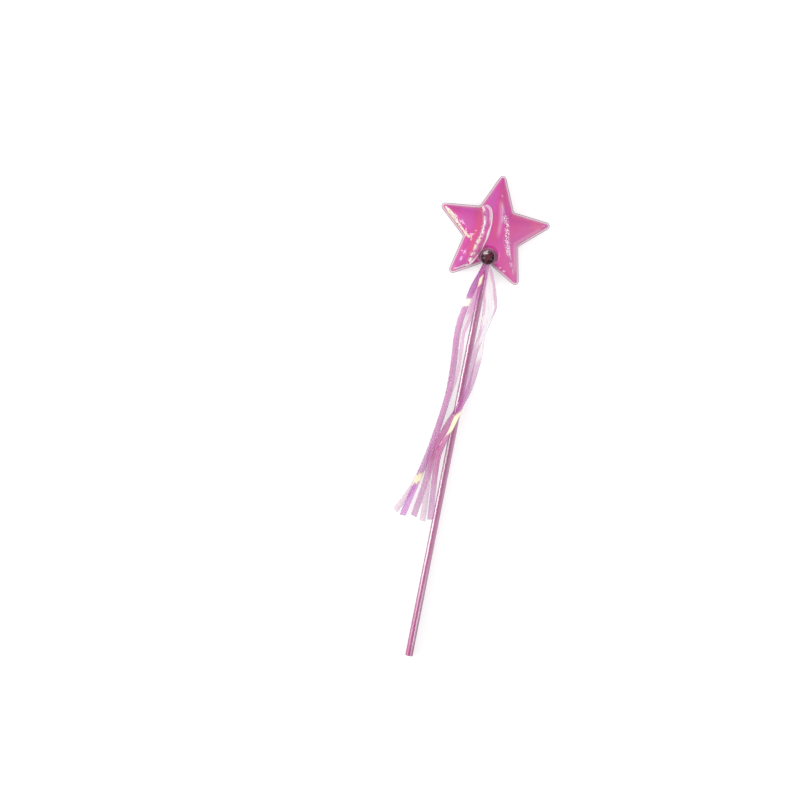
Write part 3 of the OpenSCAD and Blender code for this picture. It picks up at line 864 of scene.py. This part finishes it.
# Crease white is partly stress-whitened film and partly painted highlight; the low line and the sparks are
# painted highlights.
crease_white_and_painted_highlight = np.maximum.reduce([
    np.maximum.reduce([right_line, left_line * (1 - cream_part), 0.8 * inner_lip]) * pleat_ends,
    0.75 * barbs * pleat_ends * ease(fine, -0.3, 0.2), np.minimum(1, 1.5 * cross), 0.85 * low_line])
for x, y, size in SPARKS:
    away = np.hypot(front_xy[:, 0] - x, 1.6 * (front_xy[:, 1] - y)) + 0.7 * fine + 0.5 * broad
    crease_white_and_painted_highlight = np.maximum(crease_white_and_painted_highlight, 0.7 * ridge(np.maximum(away, 0), size))

# Painted glint: cream laid where the steep film would mirror the window, with its fray and the pleat's cream
# lip.
glint_far, glint_at, _, glint_half = near_tapered(front_xy, smooth_route(GLINT))
steep = 1 - ease(glint_far / glint_half + 0.5 * fine, 0.6, 1.15)
crinkle = ridge(rough(front_xy, size_mm=1.3, seed=17.0), 0.07)
fray = wrinkles(front_xy, smooth_route(GLINT[-3:]), count=6, reach_mm=2.4, lean_deg=62, width_mm=0.25,
                scatter_mm=0.7, seed=2.0)
painted_glint = np.maximum.reduce([steep * (1 - 0.7 * crinkle), 0.9 * fray, 0.62 * wide_lip,
                           0.8 * left_line * cream_part * pleat_ends])

# Painted shade: dark crinkles across the glint, a line along its outer edge, a line beside the left lip and
# one inside the right lip.
low_edge = ridge(front_inset - LOW_EDGE_AT - 0.3 * fine, 0.3) * (1 - ease(glint_far, 1.6, 2.4))
beside_lip = ridge(off_lip - 0.95 - 0.6 * fine, 0.25) * on_left * pleat_ends
under_line = ridge(off_lip + 1.3, 0.6) * ~on_left * low_part * (1 - fan)
shade = np.maximum.reduce([0.75 * steep * crinkle, 0.8 * low_edge * between(glint_at, 0.05, 0.12, 0.8, 0.9),
                           0.8 * beside_lip * ease(broad, -0.25, 0.15), 0.4 * under_line])
print(f"creased {(crease_white_and_painted_highlight > 0.5).mean():.1%}, cream {(painted_glint > 0.5).mean():.1%} of the points")

# %% [markdown]
# The film's colour drifts with its thickness. Long streaks of coral and of violet lie where
# the eye finds them on the real star, over a magenta ground. Film that leans to the light is
# painted paler, as a painted highlight: a soft ridge down the middle, the two right edges and a
# ring round the gem, which also lifts the shade of the gem's dish. In the upper pleat three
# layers lie on one another, which is more violet, and a thin line of painted shade lies
# just inside the pleat's left lip.

# %% Make the front film
HUE_START = 0.27
HUE_STREAKS = [
    ([(-11, 12.5), (-10.4, 4), (-11.6, -6), (-12.3, -17)], 2.8, 0.19),
    ([(0.7, 31), (3, 19)], 2.8, 0.16),
    ([(-0.6, 10.5), (2.3, -6)], 2.0, 0.12),
    ([(12, 14.8), (28.7, 11.4)], 4.2, 0.15),
    ([(13, 4), (28, 7)], 5.0, 0.08),
    ([(17.2, -11.5), (19.3, -24)], 1.8, 0.16),
    ([(-3.4, 25), (-4.6, 17)], 2.6, -0.12),
    ([(-21.7, 7.3), (-15, 2.5)], 4.0, -0.1),
    ([(-18, -24), (-15.6, -18.7)], 3.5, -0.14),
]
EDGE_LIGHT = [(33.2, 9.9), (16.4, -4.8), (20.2, -27.5)]
EDGE_LIGHT_W = 1.9
EDGE_GLOW_W = 8.0
GEM_LIGHT_R = 5.8
GEM_LIGHT_W = 0.8


def hue_drift(xy):
    """How far the film's colour drifts: below its start to violet, above it to coral."""
    streaks = [amount * ridge(near_line(xy, line)[0], half_mm) for line, half_mm, amount in HUE_STREAKS]
    return HUE_START + np.sum(streaks, axis=0)


edge_far, edge_at, _ = near_line(front_xy, EDGE_LIGHT)
edge_light = ridge(edge_far, EDGE_LIGHT_W) * between(edge_at, 0, 0.1, 0.85, 1)
gem_light = ridge(from_rivet(*front_xy.T) - GEM_LIGHT_R, GEM_LIGHT_W)
# Painted light: paler film on the soft ridge, along the right edges and in a ring round the gem.
light = np.maximum.reduce([soft, 1.2 * edge_light, 0.4 * ridge(edge_far, EDGE_GLOW_W), 1.5 * gem_light])
violet = 0.12 + 0.5 * (1 - ease(pleat_at, 0.12, 0.5))
# Painted shade: a thin dark line just inside the pleat's left lip, stored with the violet of the doubled
# film.
painted_shade_inside_lip = 0.75 * ridge(off_lip + 0.75, 0.4) * on_left * (1 - ease(pleat_at, 0.6, 0.8))
off_rim = ease(front_inset, 0.5, 0.9)
front_looks = {
    "inset": front_inset,
    "drift": hue_drift(front_xy),
    "crease_white_and_painted_highlight": np.clip(crease_white_and_painted_highlight * inner, 0, 1),
    "doubled_film_and_painted_shade": np.clip(np.maximum(band * violet, painted_shade_inside_lip) * pleat_ends * inner, 0, 1),
    "painted_glint": np.clip(painted_glint * off_rim, 0, 1),
    "pale": np.clip(light * inner, 0, 1.5),
    "shade": np.clip(shade * off_rim, 0, 1),
}
star_front = add_piece("star_front", front_points, front_faces)
for name, values in front_looks.items():
    store(star_front, name, values)
thicken(star_front, FILM_T, -1)
print("star_front:", len(star_front.data.vertices), "points")

# %% [markdown]
# The back film is the same star, flat where it rests on the table and drawn up to the weld at
# its edge, with a shallow hollow round the rivet's cap. Its slack shows as soft ripples in
# the turned-up margin.

# %% Make the back film
BACK_GAIN = 2.2
CAP_HOLLOW_R = 5.0
TUBE_GAP = 2.25
RIPPLE_MM = 0.35
RIPPLE_FADE_MM = 1
FLAT_FADE_MM = 0.6
OFF_TABLE = 0.02
back_low, _ = (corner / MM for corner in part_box("star_back_film"))
back_depth = seam_z - back_low.z - FILM_STEP


def back_height(x, y):
    """Depth of the back film's outer face below the weld."""
    hollow = TUBE_GAP + OUTER_SLOPE * np.maximum(0, from_rivet(x, y) - CAP_HOLLOW_R)
    fall = np.minimum(np.minimum(back_depth, BACK_GAIN * back_depth * puff(x, y)), hollow)
    return np.maximum(fall, TUBE_GAP * mouth(x, y)) + rim_height(inset_of(x, y))


back_fall = back_height(film_x, film_y)
margin = ease(film_inset, RIM_W, RIM_W + RIPPLE_FADE_MM)
margin *= 1 - ease(back_fall, back_depth - FLAT_FADE_MM, back_depth)
ripple = RIPPLE_MM * rough(film_xy, size_mm=3.3, seed=21.0) * margin
back_z = np.maximum(seam_z - back_fall + ripple, OFF_TABLE)
back_start = np.stack([film_x, film_y + star_y, back_z], axis=1)
back_points, back_faces, _ = refined(back_start, [face[::-1] for face in film_faces])
back_points[:, 2] = np.maximum(back_points[:, 2], OFF_TABLE / 2)
back_xy = back_points[:, :2] - (0, star_y)
back_looks = dict.fromkeys(front_looks, np.zeros(len(back_points)))
back_looks |= {"inset": inset_of(*back_xy.T), "drift": hue_drift(back_xy)}
star_back = add_piece("star_back", back_points, back_faces)
for name, values in back_looks.items():
    store(star_back, name, values)
thicken(star_back, FILM_T, -1)
print(f"star_back: {len(back_points)} points, rests at {back_points[:, 2].min():.3f} mm")

# %% [markdown]
# The filling is a wad of polyester fibre. It is out of sight, but it is what holds the films
# apart, so it has a piece of its own: the space between the films, less a little all round,
# with a channel for the stick and a hole for the rivet cut out of it.

# %% Fill the star
FILL_INSET = 1.6
FILL_GAP = 0.5
CHANNEL_R = 2.2
CHANNEL_END_GAP = 0.1
SHANK_HOLE_R = 1.0
ROD_SIDES = 40
_, tube_high = (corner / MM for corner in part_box("stick_tube"))


def add_rod(name, low, high, radius):
    """A round bar between two points, as a cutter."""
    rod = bmesh.new()
    axis = Vector(high) - Vector(low)
    turn = axis.to_track_quat("Z", "Y").to_matrix().to_4x4()
    place = Matrix.Translation((Vector(low) + Vector(high)) / 2 * MM) @ turn
    bmesh.ops.create_cone(rod, cap_ends=True, segments=ROD_SIDES, radius1=radius * MM, radius2=radius * MM,
                          depth=axis.length * MM, matrix=place)
    made = add_piece(name, [], [])
    rod.to_mesh(made.data)
    rod.free()
    return made


def carve(made, cutters):
    """Cut other pieces out of a piece, for good, and remove them."""
    for cutter in cutters:
        cut = made.modifiers.new("cut", "BOOLEAN")
        cut.object = cutter
        cut.solver = "EXACT"
    result = made.evaluated_get(bpy.context.evaluated_depsgraph_get())
    made.data = bpy.data.meshes.new_from_object(result)
    made.modifiers.clear()
    for cutter in cutters:
        bpy.data.objects.remove(cutter)


inside = film_inset > FILL_INSET - HAIR_MM
number = np.cumsum(inside) - 1
upper = [tuple(int(number[k]) for k in face) for face in film_faces if inside[list(face)].all()]
fill_n = int(inside.sum())
lower = [tuple(k + fill_n for k in reversed(face)) for face in upper]
used = {(a, b) for face in upper for a, b in zip(face, face[1:] + face[:1])}
walls = [(b, a, a + fill_n, b + fill_n) for a, b in used if (b, a) not in used]
fill_xy = np.stack([film_x, film_y + star_y], axis=1)[inside]
fill_top = np.column_stack([fill_xy, start_z[inside] - FILL_GAP])
fill_base = np.column_stack([fill_xy, back_z[inside] + FILL_GAP])
filling = add_piece("fibre_filling", np.concatenate([fill_top, fill_base]), upper + lower + sorted(walls))
channel_end = tube_high.y + CHANNEL_END_GAP
channel = add_rod("channel", (0, star_y - POINT_R, stick_z), (0, channel_end, stick_z), CHANNEL_R)
hole = add_rod("hole", (rivet_x, rivet_y, -1), (rivet_x, rivet_y, seat_top + 1), SHANK_HOLE_R)
carve(filling, [channel, hole])
print("filling:", len(filling.data.vertices), "points")

# %% [markdown]
# The star's film is the same kind of film over a white filling, so it looks dense and bright.
# A glossy coat gives the hard glints. The weld is clear, so the rim is nearly white, with a
# grey line at its cut edge. The stored lines are laid over the pink one after the other, each
# through its own mask, as a painter would glaze them. Several are painted light and shade: the
# pale glaze and the cream glint are painted highlights, the crease white is partly painted
# highlight, the olive grey is painted shade, and the violet holds a painted shade line. The
# filling is matt white fibre. Its tangle is drawn at half a millimetre, coarser than real
# fibre, so that it shows.

# %% Finish: iridescent film over filling, and fibre
BAND_W_MM = 6.5
BAND_RUN_MM = 34
BAND_LEAN_DEG = 8
BAND_SHARE = 0.32
PAINTED_LIGHT_SHARE = 0.5
GRAIN_MM = 1.6
GRAIN_DEPTH_MM = 0.2
FIBRE_MM = 0.5
TUFT_MM = 0.3
RIM_END = 2.0

star_film, tree = new_finish("iridescent_film_over_filling")
look = {name: add_node(tree, "Attribute", attribute_name=name).outputs["Fac"] for name in front_looks}
spot = add_node(tree, "TexCoord").outputs["Object"]
bands_at = add_node(tree, "Mapping", {
    "Vector": spot, "Rotation": (0, 0, math.radians(BAND_LEAN_DEG)),
    "Scale": (1 / (BAND_W_MM * MM), 1 / (BAND_RUN_MM * MM), 1 / (BAND_RUN_MM * MM)),
})
bands = add_node(tree, "TexNoise", {"Vector": bands_at, "Scale": 1.0, "Detail": 1.5, "Distortion": 0.6})
hue_at = add_node(tree, "Math", {0: bands, 1: BAND_SHARE, 2: look["drift"]}, operation="MULTIPLY_ADD")
colour = add_node(tree, "ValToRGB", {"Fac": hue_at}, stops=[
    (0.28, "#C850A8"), (0.40, "#D442A2"), (0.50, "#CE4094"), (0.60, "#D84688"), (0.72, "#E25A90")])
# Painted highlight: the stored pale share lightens the film.
painted_light_glaze = add_node(tree, "Math", {0: look["pale"], 1: PAINTED_LIGHT_SHARE}, operation="MULTIPLY")
rim_at = add_node(tree, "MapRange", {"Value": look["inset"], "From Max": RIM_END})
rim = add_node(tree, "ValToRGB", {"Fac": rim_at}, stops=[
    (0.0, "#957488"), (0.16, "#B096A4"), (0.28, "#F2E2EA"), (0.50, "#F8EAF1"), (0.64, "#DE9CC2"),
    (0.80, "#D95CA2")])
on_rim = add_node(tree, "MapRange", {"Value": look["inset"], "From Min": 1.05, "From Max": 1.7,
                                     "To Min": 1.0, "To Max": 0.0})
bare_rim = add_node(tree, "Math", {0: on_rim, 1: look["painted_glint"]}, operation="SUBTRACT", use_clamp=True)
# Painted light and shade among the glazes: pale, crease white and cream glint are painted highlights in part
# or whole, and the olive grey is painted shade.
glazes = [
    (look["doubled_film_and_painted_shade"], linear("#BE68A6")), (painted_light_glaze, linear("#EFA6C4")), (look["crease_white_and_painted_highlight"], linear("#FFF0F4")),
    (look["painted_glint"], linear("#FCF6D6")), (look["shade"], linear("#93807A")), (bare_rim, rim),
]
for mask, glaze in glazes:
    colour = add_node(tree, "Mix", {"Factor": mask, "A": colour, "B": glaze}, data_type="RGBA")
grain = add_node(tree, "TexNoise", {"Vector": spot, "Scale": 1 / (GRAIN_MM * MM), "Detail": 4.0})
bump = add_node(tree, "Bump", {"Height": grain, "Strength": 0.06, "Distance": GRAIN_DEPTH_MM * MM})
add_node(tree, "OutputMaterial", {"Surface": add_node(tree, "BsdfPrincipled", {
    "Base Color": colour, "Roughness": 0.3, "IOR": 1.5, "Coat Weight": 0.6, "Coat Roughness": 0.08,
    "Thin Film Thickness": 380.0, "Thin Film IOR": 1.36, "Normal": bump,
})})

fibre, tree = new_finish("polyester_fibre")
spot = add_node(tree, "TexCoord").outputs["Object"]
tangle = add_node(tree, "TexNoise", {"Vector": spot, "Scale": 1 / (FIBRE_MM * MM), "Detail": 5.0})
tuft = add_node(tree, "Bump", {"Height": tangle, "Strength": 0.8, "Distance": TUFT_MM * MM})
add_node(tree, "OutputMaterial", {"Surface": add_node(tree, "BsdfPrincipled", {
    "Base Color": linear("#F1EDEF"), "Roughness": 0.9, "Sheen Weight": 0.4, "Normal": tuft})})

STAR_PIECES = [
    (star_front, "star_front_film", "star_film", star_film),
    (star_back, "star_back_film", "star_film", star_film),
    (filling, "star_padding", "padding", fibre),
]
for piece, node, slot, finish in STAR_PIECES:
    piece.data.materials.append(finish)
    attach(piece, "wand")
    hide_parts(node)
print("star finishes:", star_film.name, fibre.name)

# %% [markdown]
# ## The stick
# A plastic tube carries the star, and a strip of the same film is wrapped along it, lapped at
# one side and heat-shrunk tight. Shrunk film crinkles into small cross wrinkles with a pinch
# every few millimetres, so a smooth cylinder would look too clean. The wrap is a fine grid
# round the tube, pushed in and out by noise that is long around the tube and short along it.

# %% Wrap the stick
WRAP_SIDES = 56
WRAP_PITCH = 0.45
WRAP_FILM = 0.12
WRAP_INSET = 0.06
AROUND = 0.55
CRINKLE_RUN_MM = 0.95
CRINKLE_MM = 0.02
SLACK_CRINKLE_MM = 0.05
BUCKLE_RUN_MM = 4.5
BUCKLE_MM = 0.02
SLACK_RUN_MM = 16
LAP_DEG = 58
LAP_STEP = 0.07
LAP_FADE = 0.7
LAP_WANDER = 0.12
LAP_WANDER_MM = 9
PINCH_MM = 7
PINCH_W = 0.55
PINCH_DEPTH = 0.05
PINCH_WANDER = 0.35
PINCH_WANDER_MM = 11


def wrap_radius(y, turn):
    """Radius of the wrap at a place along the stick and an angle from its top."""
    # Each noise is read at a place of its own, so that none follows another.
    around = Vector((math.sin(turn), math.cos(turn), 0)) * AROUND
    cross = noise.noise(around + Vector((0, 0, y / CRINKLE_RUN_MM)))
    buckle = noise.noise(around * 0.8 + Vector((0, 0, y / BUCKLE_RUN_MM + 40)))
    slack = 0.5 + 0.5 * noise.noise(Vector((7.0, 2.0, y / SLACK_RUN_MM)))
    lap_turn = math.radians(LAP_DEG) + LAP_WANDER * noise.noise(Vector((3.0, 5.0, y / LAP_WANDER_MM)))
    lap = LAP_STEP * math.exp(-((turn - lap_turn) % (2 * math.pi)) / LAP_FADE)
    beat = y / PINCH_MM + PINCH_WANDER * noise.noise(Vector((1.0, 9.0, y / PINCH_WANDER_MM)))
    pinch = math.exp(-(((beat + 0.5) % 1 - 0.5) * PINCH_MM / PINCH_W) ** 2)
    depth = CRINKLE_MM + SLACK_CRINKLE_MM * slack
    return stick_r - WRAP_INSET + depth * cross + BUCKLE_MM * buckle + lap - PINCH_DEPTH * pinch


ring_count = round((stick_high.y - stick_low.y) / WRAP_PITCH) + 1
wrap_y = np.linspace(stick_low.y, stick_high.y, ring_count)
wrap_turns = np.arange(WRAP_SIDES) * 2 * math.pi / WRAP_SIDES
wrap_points = []
for y in wrap_y:
    for turn in wrap_turns:
        r = wrap_radius(y, turn)
        wrap_points.append((r * math.sin(turn), y, stick_z + r * math.cos(turn)))
grid = np.arange(len(wrap_points)).reshape(-1, WRAP_SIDES)
beside = np.roll(grid, -1, axis=1)
wrap_faces = np.stack([grid[:-1], grid[1:], beside[1:], beside[:-1]], axis=-1).reshape(-1, 4).tolist()
wrap = add_piece("film_wrap", wrap_points, wrap_faces)
store(wrap, "side", np.tile(np.sin(wrap_turns), ring_count))
thicken(wrap, WRAP_FILM, -1)
print(f"film_wrap: {len(wrap_points)} points over {wrap_y[-1] - wrap_y[0]:.1f} mm")

# %% [markdown]
# The wrap is tinted film over a pink tube, so it is a duller pink than the star, deeper at the
# butt where the film is doubled over the end. Its tones run along it in stripes, from the left
# side of the stick to the right, and they hold painted light and shade: darker tones towards
# the sides are painted shade, and the pale stripe is a painted highlight where a flat of the
# film catches the light. It lies left of the middle for most of the way and crosses to the
# right near the butt, where the film is also duller. The tube is extruded polypropylene, dyed
# through and faintly lined by the die. It shows as a square-cut ring at the butt.

# %% Finish: shrunk film wrap and polypropylene tube
BUTT_MM = 9
CREASE_MM = 1.3
CREASE_DEPTH_MM = 0.2
CREASE_AROUND = 0.4
CROSS_FROM_MM = 25
CROSS_TO_MM = 70
DRAW_LINE_MM = 0.4
DRAW_RUN_MM = 50 / 3

wrap_film, tree = new_finish("shrunk_film_wrap")
spot = add_node(tree, "TexCoord").outputs["Object"]
side = add_node(tree, "Attribute", attribute_name="side").outputs["Fac"]
creases, around = 1 / (CREASE_MM * MM), CREASE_AROUND / (CREASE_MM * MM)
cross_at = add_node(tree, "Mapping", {"Vector": spot, "Scale": (around, creases, around)})
cross = add_node(tree, "TexNoise", {"Vector": cross_at, "Scale": 1.0, "Detail": 3.0, "Roughness": 0.6})
crinkle = add_node(tree, "MapRange", {"Value": cross, "From Min": 0.25, "From Max": 0.75,
                                      "To Min": -0.16, "To Max": 0.16})
wavy_side = add_node(tree, "Math", {0: side, 1: crinkle}, operation="ADD")
tone_at = add_node(tree, "MapRange", {"Value": wavy_side, "From Min": -1.0})
# Painted light and shade by side: the pale stops are a painted highlight, the darker stops near the edges
# painted shade.
upper_pinks_and_painted_light = add_node(tree, "ValToRGB", {"Fac": tone_at}, stops=[
    (0.02, "#8E6C84"), (0.17, "#AC809C"), (0.23, "#F6DDEC"), (0.31, "#F0C4DE"), (0.38, "#B8649A"),
    (0.46, "#984478"), (0.60, "#B86296"), (0.80, "#C888AE"), (0.92, "#A87094"), (0.99, "#C8A0B8")])
lower_pinks_and_painted_light = add_node(tree, "ValToRGB", {"Fac": tone_at}, stops=[
    (0.02, "#94587E"), (0.16, "#B06A98"), (0.26, "#D68EBA"), (0.36, "#BC6498"), (0.47, "#8E3470"),
    (0.57, "#AC4C88"), (0.66, "#EEC4DE"), (0.75, "#F4D8E8"), (0.84, "#A87896"), (0.99, "#9C7890")])
up_stick = add_node(tree, "SeparateXYZ", {"Vector": spot}).outputs["Y"]
lower, butt = (
    add_node(tree, "MapRange", {"Value": up_stick, "From Min": (stick_low.y + low) * MM,
                                "From Max": (stick_low.y + high) * MM, "To Min": most, "To Max": 0.0})
    for low, high, most in ((CROSS_FROM_MM, CROSS_TO_MM, 1.0), (0.4 * BUTT_MM, 1.3 * BUTT_MM, 0.4)))
colour = upper_pinks_and_painted_light
for mask, layer in ((lower, lower_pinks_and_painted_light), (butt, linear("#B5407C"))):
    colour = add_node(tree, "Mix", {"Factor": mask, "A": colour, "B": layer}, data_type="RGBA")
gloss = add_node(tree, "MapRange", {"Value": lower, "To Min": 0.8, "To Max": 0.15})
blur = add_node(tree, "MapRange", {"Value": lower, "To Min": 0.22, "To Max": 0.5})
bump = add_node(tree, "Bump", {"Height": cross, "Strength": 0.25, "Distance": CREASE_DEPTH_MM * MM})
add_node(tree, "OutputMaterial", {"Surface": add_node(tree, "BsdfPrincipled", {
    "Base Color": colour, "Roughness": blur, "IOR": 1.65, "Coat Weight": gloss, "Coat Roughness": 0.06,
    "Normal": bump,
})})
wrap.data.materials.append(wrap_film)
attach(wrap, "wand")
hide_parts("stick_wrap")

tube_plastic, tree = new_finish("extruded_polypropylene")
spot = add_node(tree, "TexCoord").outputs["Object"]
fine_draw, long_draw = 1 / (DRAW_LINE_MM * MM), 1 / (DRAW_RUN_MM * MM)
draw_at = add_node(tree, "Mapping", {"Vector": spot, "Scale": (fine_draw, long_draw, fine_draw)})
draw = add_node(tree, "TexNoise", {"Vector": draw_at, "Scale": 1.0, "Detail": 2.0})
dye = add_node(tree, "ValToRGB", {"Fac": draw}, stops=[(0.35, "#BE4E86"), (0.65, "#CB6496")])
add_node(tree, "OutputMaterial", {"Surface": add_node(tree, "BsdfPrincipled", {
    "Base Color": dye, "Roughness": 0.35, "IOR": 1.49, "Subsurface Weight": 0.15, "Subsurface Scale": 1 * MM,
})})
frame["nodes"]["stick_tube"].data.materials.clear()
frame["nodes"]["stick_tube"].data.materials.append(tube_plastic)
print("stick finishes:", wrap_film.name, tube_plastic.name)

# %% [markdown]
# ## The gem and its rivet
# The stone is moulded acrylic in a brilliant cut with a flat back: a table, eight star facets,
# eight kites and sixteen girdle facets. The back has dark foil, so the stone shows near black
# with a red depth, and a few grey facets carry a painted reflection of the room. A cut stone is
# all flat planes, so its facets are built corner by corner and left unsmoothed. The cup and the
# cap of the rivet are the imported solids, with small bevels so that their edges catch the
# light.

# %% Cut the gem
TABLE_SHARE = 0.5
KITE_SHARE = 0.8
GIRDLE_MM = 0.9
PAINTED_REFLECTION_TURN = math.radians(118)
FACET_TONE = 0.22
PAINTED_REFLECTION_SHARE = 0.75
SIXTEENTH = 22.5
gem_r = (gem_high.x - gem_low.x) / 2
gem_h = gem_high.z - gem_low.z


def gem_ring(radius, height, turns_deg):
    """Corners of the gem at a radius and a height above its back."""
    turns = np.radians(turns_deg)
    return [(rivet_x + radius * math.cos(t), rivet_y + radius * math.sin(t), gem_low.z + height)
            for t in turns]


sixteenths = np.arange(16) * SIXTEENTH
eighths = sixteenths[::2]
table_r = TABLE_SHARE * gem_r
kite_r = KITE_SHARE * gem_r
kite_run = (kite_r * math.cos(math.radians(SIXTEENTH)) - table_r) / (gem_r - table_r)
kite_h = gem_h - kite_run * (gem_h - GIRDLE_MM)
gem_points = gem_ring(table_r, gem_h, eighths) + gem_ring(kite_r, kite_h, eighths + SIXTEENTH)
gem_points += gem_ring(gem_r, GIRDLE_MM, sixteenths) + gem_ring(gem_r, 0, sixteenths)
TABLE, KITE, GIRDLE, BACK = 0, 8, 16, 32
gem_faces = [tuple(range(TABLE, TABLE + 8))]
for k in range(8):
    ahead = (k + 1) % 8
    gem_faces += [
        (TABLE + k, KITE + k, TABLE + ahead), (TABLE + k, KITE + (k - 1) % 8, GIRDLE + 2 * k, KITE + k),
        (KITE + k, GIRDLE + 2 * k, GIRDLE + 2 * k + 1), (KITE + k, GIRDLE + 2 * k + 1, GIRDLE + 2 * ahead)]
for k in range(16):
    ahead = (k + 1) % 16
    gem_faces.append((GIRDLE + k, BACK + k, BACK + ahead, GIRDLE + ahead))
gem_faces.append(tuple(reversed(range(BACK, BACK + 16))))
gem = add_piece("cut_gem", gem_points, gem_faces, smooth=False)
facet_tones_and_painted_reflections = []
for k, face in enumerate(gem.data.polygons):
    turn = math.atan2(face.center.y / MM - rivet_y, face.center.x / MM - rivet_x)
    sloped = 0 < face.normal.z < 0.99
    # Painted reflection: sloped facets turned towards the window are lighter.
    painted_reflection = max(0, math.cos(turn - PAINTED_REFLECTION_TURN)) ** 6 if sloped else 0
    facet_tones_and_painted_reflections.append(min(1, FACET_TONE + FACET_TONE * math.sin(2.4 * k + 0.7) + PAINTED_REFLECTION_SHARE * painted_reflection))
store(gem, "facet_tone_and_painted_reflection", facet_tones_and_painted_reflections, where="FACE")
print(f"gem: {len(gem_faces)} facets, {2 * gem_r:.1f} mm across")

# %% [markdown]
# Acrylic is as glossy as glass, with a lower index. Each facet has one stored tone, from near
# black over deep red to the white of the window; the pale tones are a painted reflection. The
# cup and the cap are brass, stamped and nickel-plated: a warm grey metal, dulled in patches of
# a millimetre or two.

# %% Finish: foil-backed acrylic and nickel plate
TARNISH_MM = 1.5
PRESSED_EDGE_MM = 0.12

gem_acrylic, tree = new_finish("dark_backed_acrylic")
facet_tone_and_painted_reflection = add_node(tree, "Attribute", attribute_name="facet_tone_and_painted_reflection").outputs["Fac"]
depth = add_node(tree, "ValToRGB", {"Fac": facet_tone_and_painted_reflection}, stops=[
    (0.0, "#0C0206"), (0.15, "#2A0610"), (0.3, "#4E1226"), (0.44, "#6A3A4A"), (0.75, "#9C8C96"),
    (1.0, "#FFFFFF")])
add_node(tree, "OutputMaterial", {"Surface": add_node(tree, "BsdfPrincipled", {
    "Base Color": depth, "Roughness": 0.05, "IOR": 1.49, "Specular IOR Level": 0.18})})
gem.data.materials.append(gem_acrylic)
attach(gem, "wand")
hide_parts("gem")

nickel, tree = new_finish("nickel_plated_brass")
spot = add_node(tree, "TexCoord").outputs["Object"]
tarnish = add_node(tree, "TexNoise", {"Vector": spot, "Scale": 1 / (TARNISH_MM * MM), "Detail": 3.0})
gloss = add_node(tree, "MapRange", {"Value": tarnish, "To Min": 0.15, "To Max": 0.35})
plate = add_node(tree, "ValToRGB", {"Fac": tarnish}, stops=[(0.3, "#7E6476"), (0.7, "#9C8092")])
add_node(tree, "OutputMaterial", {"Surface": add_node(tree, "BsdfPrincipled", {
    "Base Color": plate, "Metallic": 1.0, "Roughness": gloss})})
for name in ("gem_rivet", "rivet_cap"):
    metal = frame["nodes"][name]
    metal.data.materials.clear()
    metal.data.materials.append(nickel)
    bevel = metal.modifiers.new("pressed edge", "BEVEL")
    bevel.width = PRESSED_EDGE_MM * MM
    bevel.segments = 2
print("metal:", nickel.name)

# %% [markdown]
# ## The table and the light
# The table is plain white. Its finish adds a little glow for the camera and for reflections,
# so that it shows as white paper while the wand still drops a soft shadow. A pale sky lights
# the wand evenly. One long window lamp stands low on the left: it draws the bright line along
# the stick and the glints on film that leans towards it, over the painted highlights of the
# finishes. A weaker one on the right lifts the edges on that side.

# %% Table, sky and lamps
TABLE_M = 3.0
TABLE_DROP_M = 0.0002
PAPER_GLOW = 0.5
SKY_LEVEL = 0.67
table = bpy.data.objects.new("table", bpy.data.meshes.new("table"))
corner = TABLE_M / 2
corners = [(-corner, -corner, 0), (corner, -corner, 0), (corner, corner, 0), (-corner, corner, 0)]
table.data.from_pydata(corners, [], [(0, 1, 2, 3)])
table.location.z = -TABLE_DROP_M
scene.collection.objects.link(table)


def seen_directly(tree):
    """1 for rays from the camera, from a reflection or through something clear."""
    path = add_node(tree, "LightPath").outputs
    seen = path["Is Camera Ray"]
    for ray in ("Is Glossy Ray", "Is Transmission Ray"):
        seen = add_node(tree, "Math", {0: seen, 1: path[ray]}, operation="MAXIMUM")
    return seen


paper, tree = new_finish("white_paper")
glow = add_node(tree, "Math", {0: seen_directly(tree), 1: PAPER_GLOW}, operation="MULTIPLY")
matt = add_node(tree, "BsdfDiffuse", {"Color": linear("#DCDCDC")})
both = add_node(tree, "AddShader", {0: matt, 1: add_node(tree, "Emission", {"Strength": glow})})
add_node(tree, "OutputMaterial", {"Surface": both})
table.data.materials.append(paper)

sky = bpy.data.worlds.new("pale_sky")
scene.world = sky
sky.use_nodes = True
tree = sky.node_tree
tree.nodes.clear()
level = add_node(tree, "MapRange", {"Value": seen_directly(tree), "To Min": SKY_LEVEL, "To Max": 1.0})
back = add_node(tree, "Background", {"Color": linear("#FFFFFF"), "Strength": level})
add_node(tree, "OutputWorld", {"Surface": back})


def add_lamp(name, place_mm, aim_mm, size_mm, watts, colour):
    """A soft rectangular lamp that faces a point."""
    lamp = bpy.data.lights.new(name, "AREA")
    lamp.shape = "RECTANGLE"
    lamp.size, lamp.size_y = (size * MM for size in size_mm)
    lamp.energy = watts
    lamp.color = linear(colour)[:3]
    made = bpy.data.objects.new(name, lamp)
    made.location = Vector(place_mm) * MM
    made.rotation_euler = (Vector(aim_mm) - Vector(place_mm)).to_track_quat("-Z", "Y").to_euler()
    scene.collection.objects.link(made)


add_lamp("window_left", (-480, -70, 300), (0, -60, 0), (460, 130), 2.0, "#FFFBF0")
add_lamp("panel_right", (440, 270, 300), (0, 110, 0), (300, 160), 0.75, "#FFFFFF")
scene.view_settings.view_transform = "Standard"
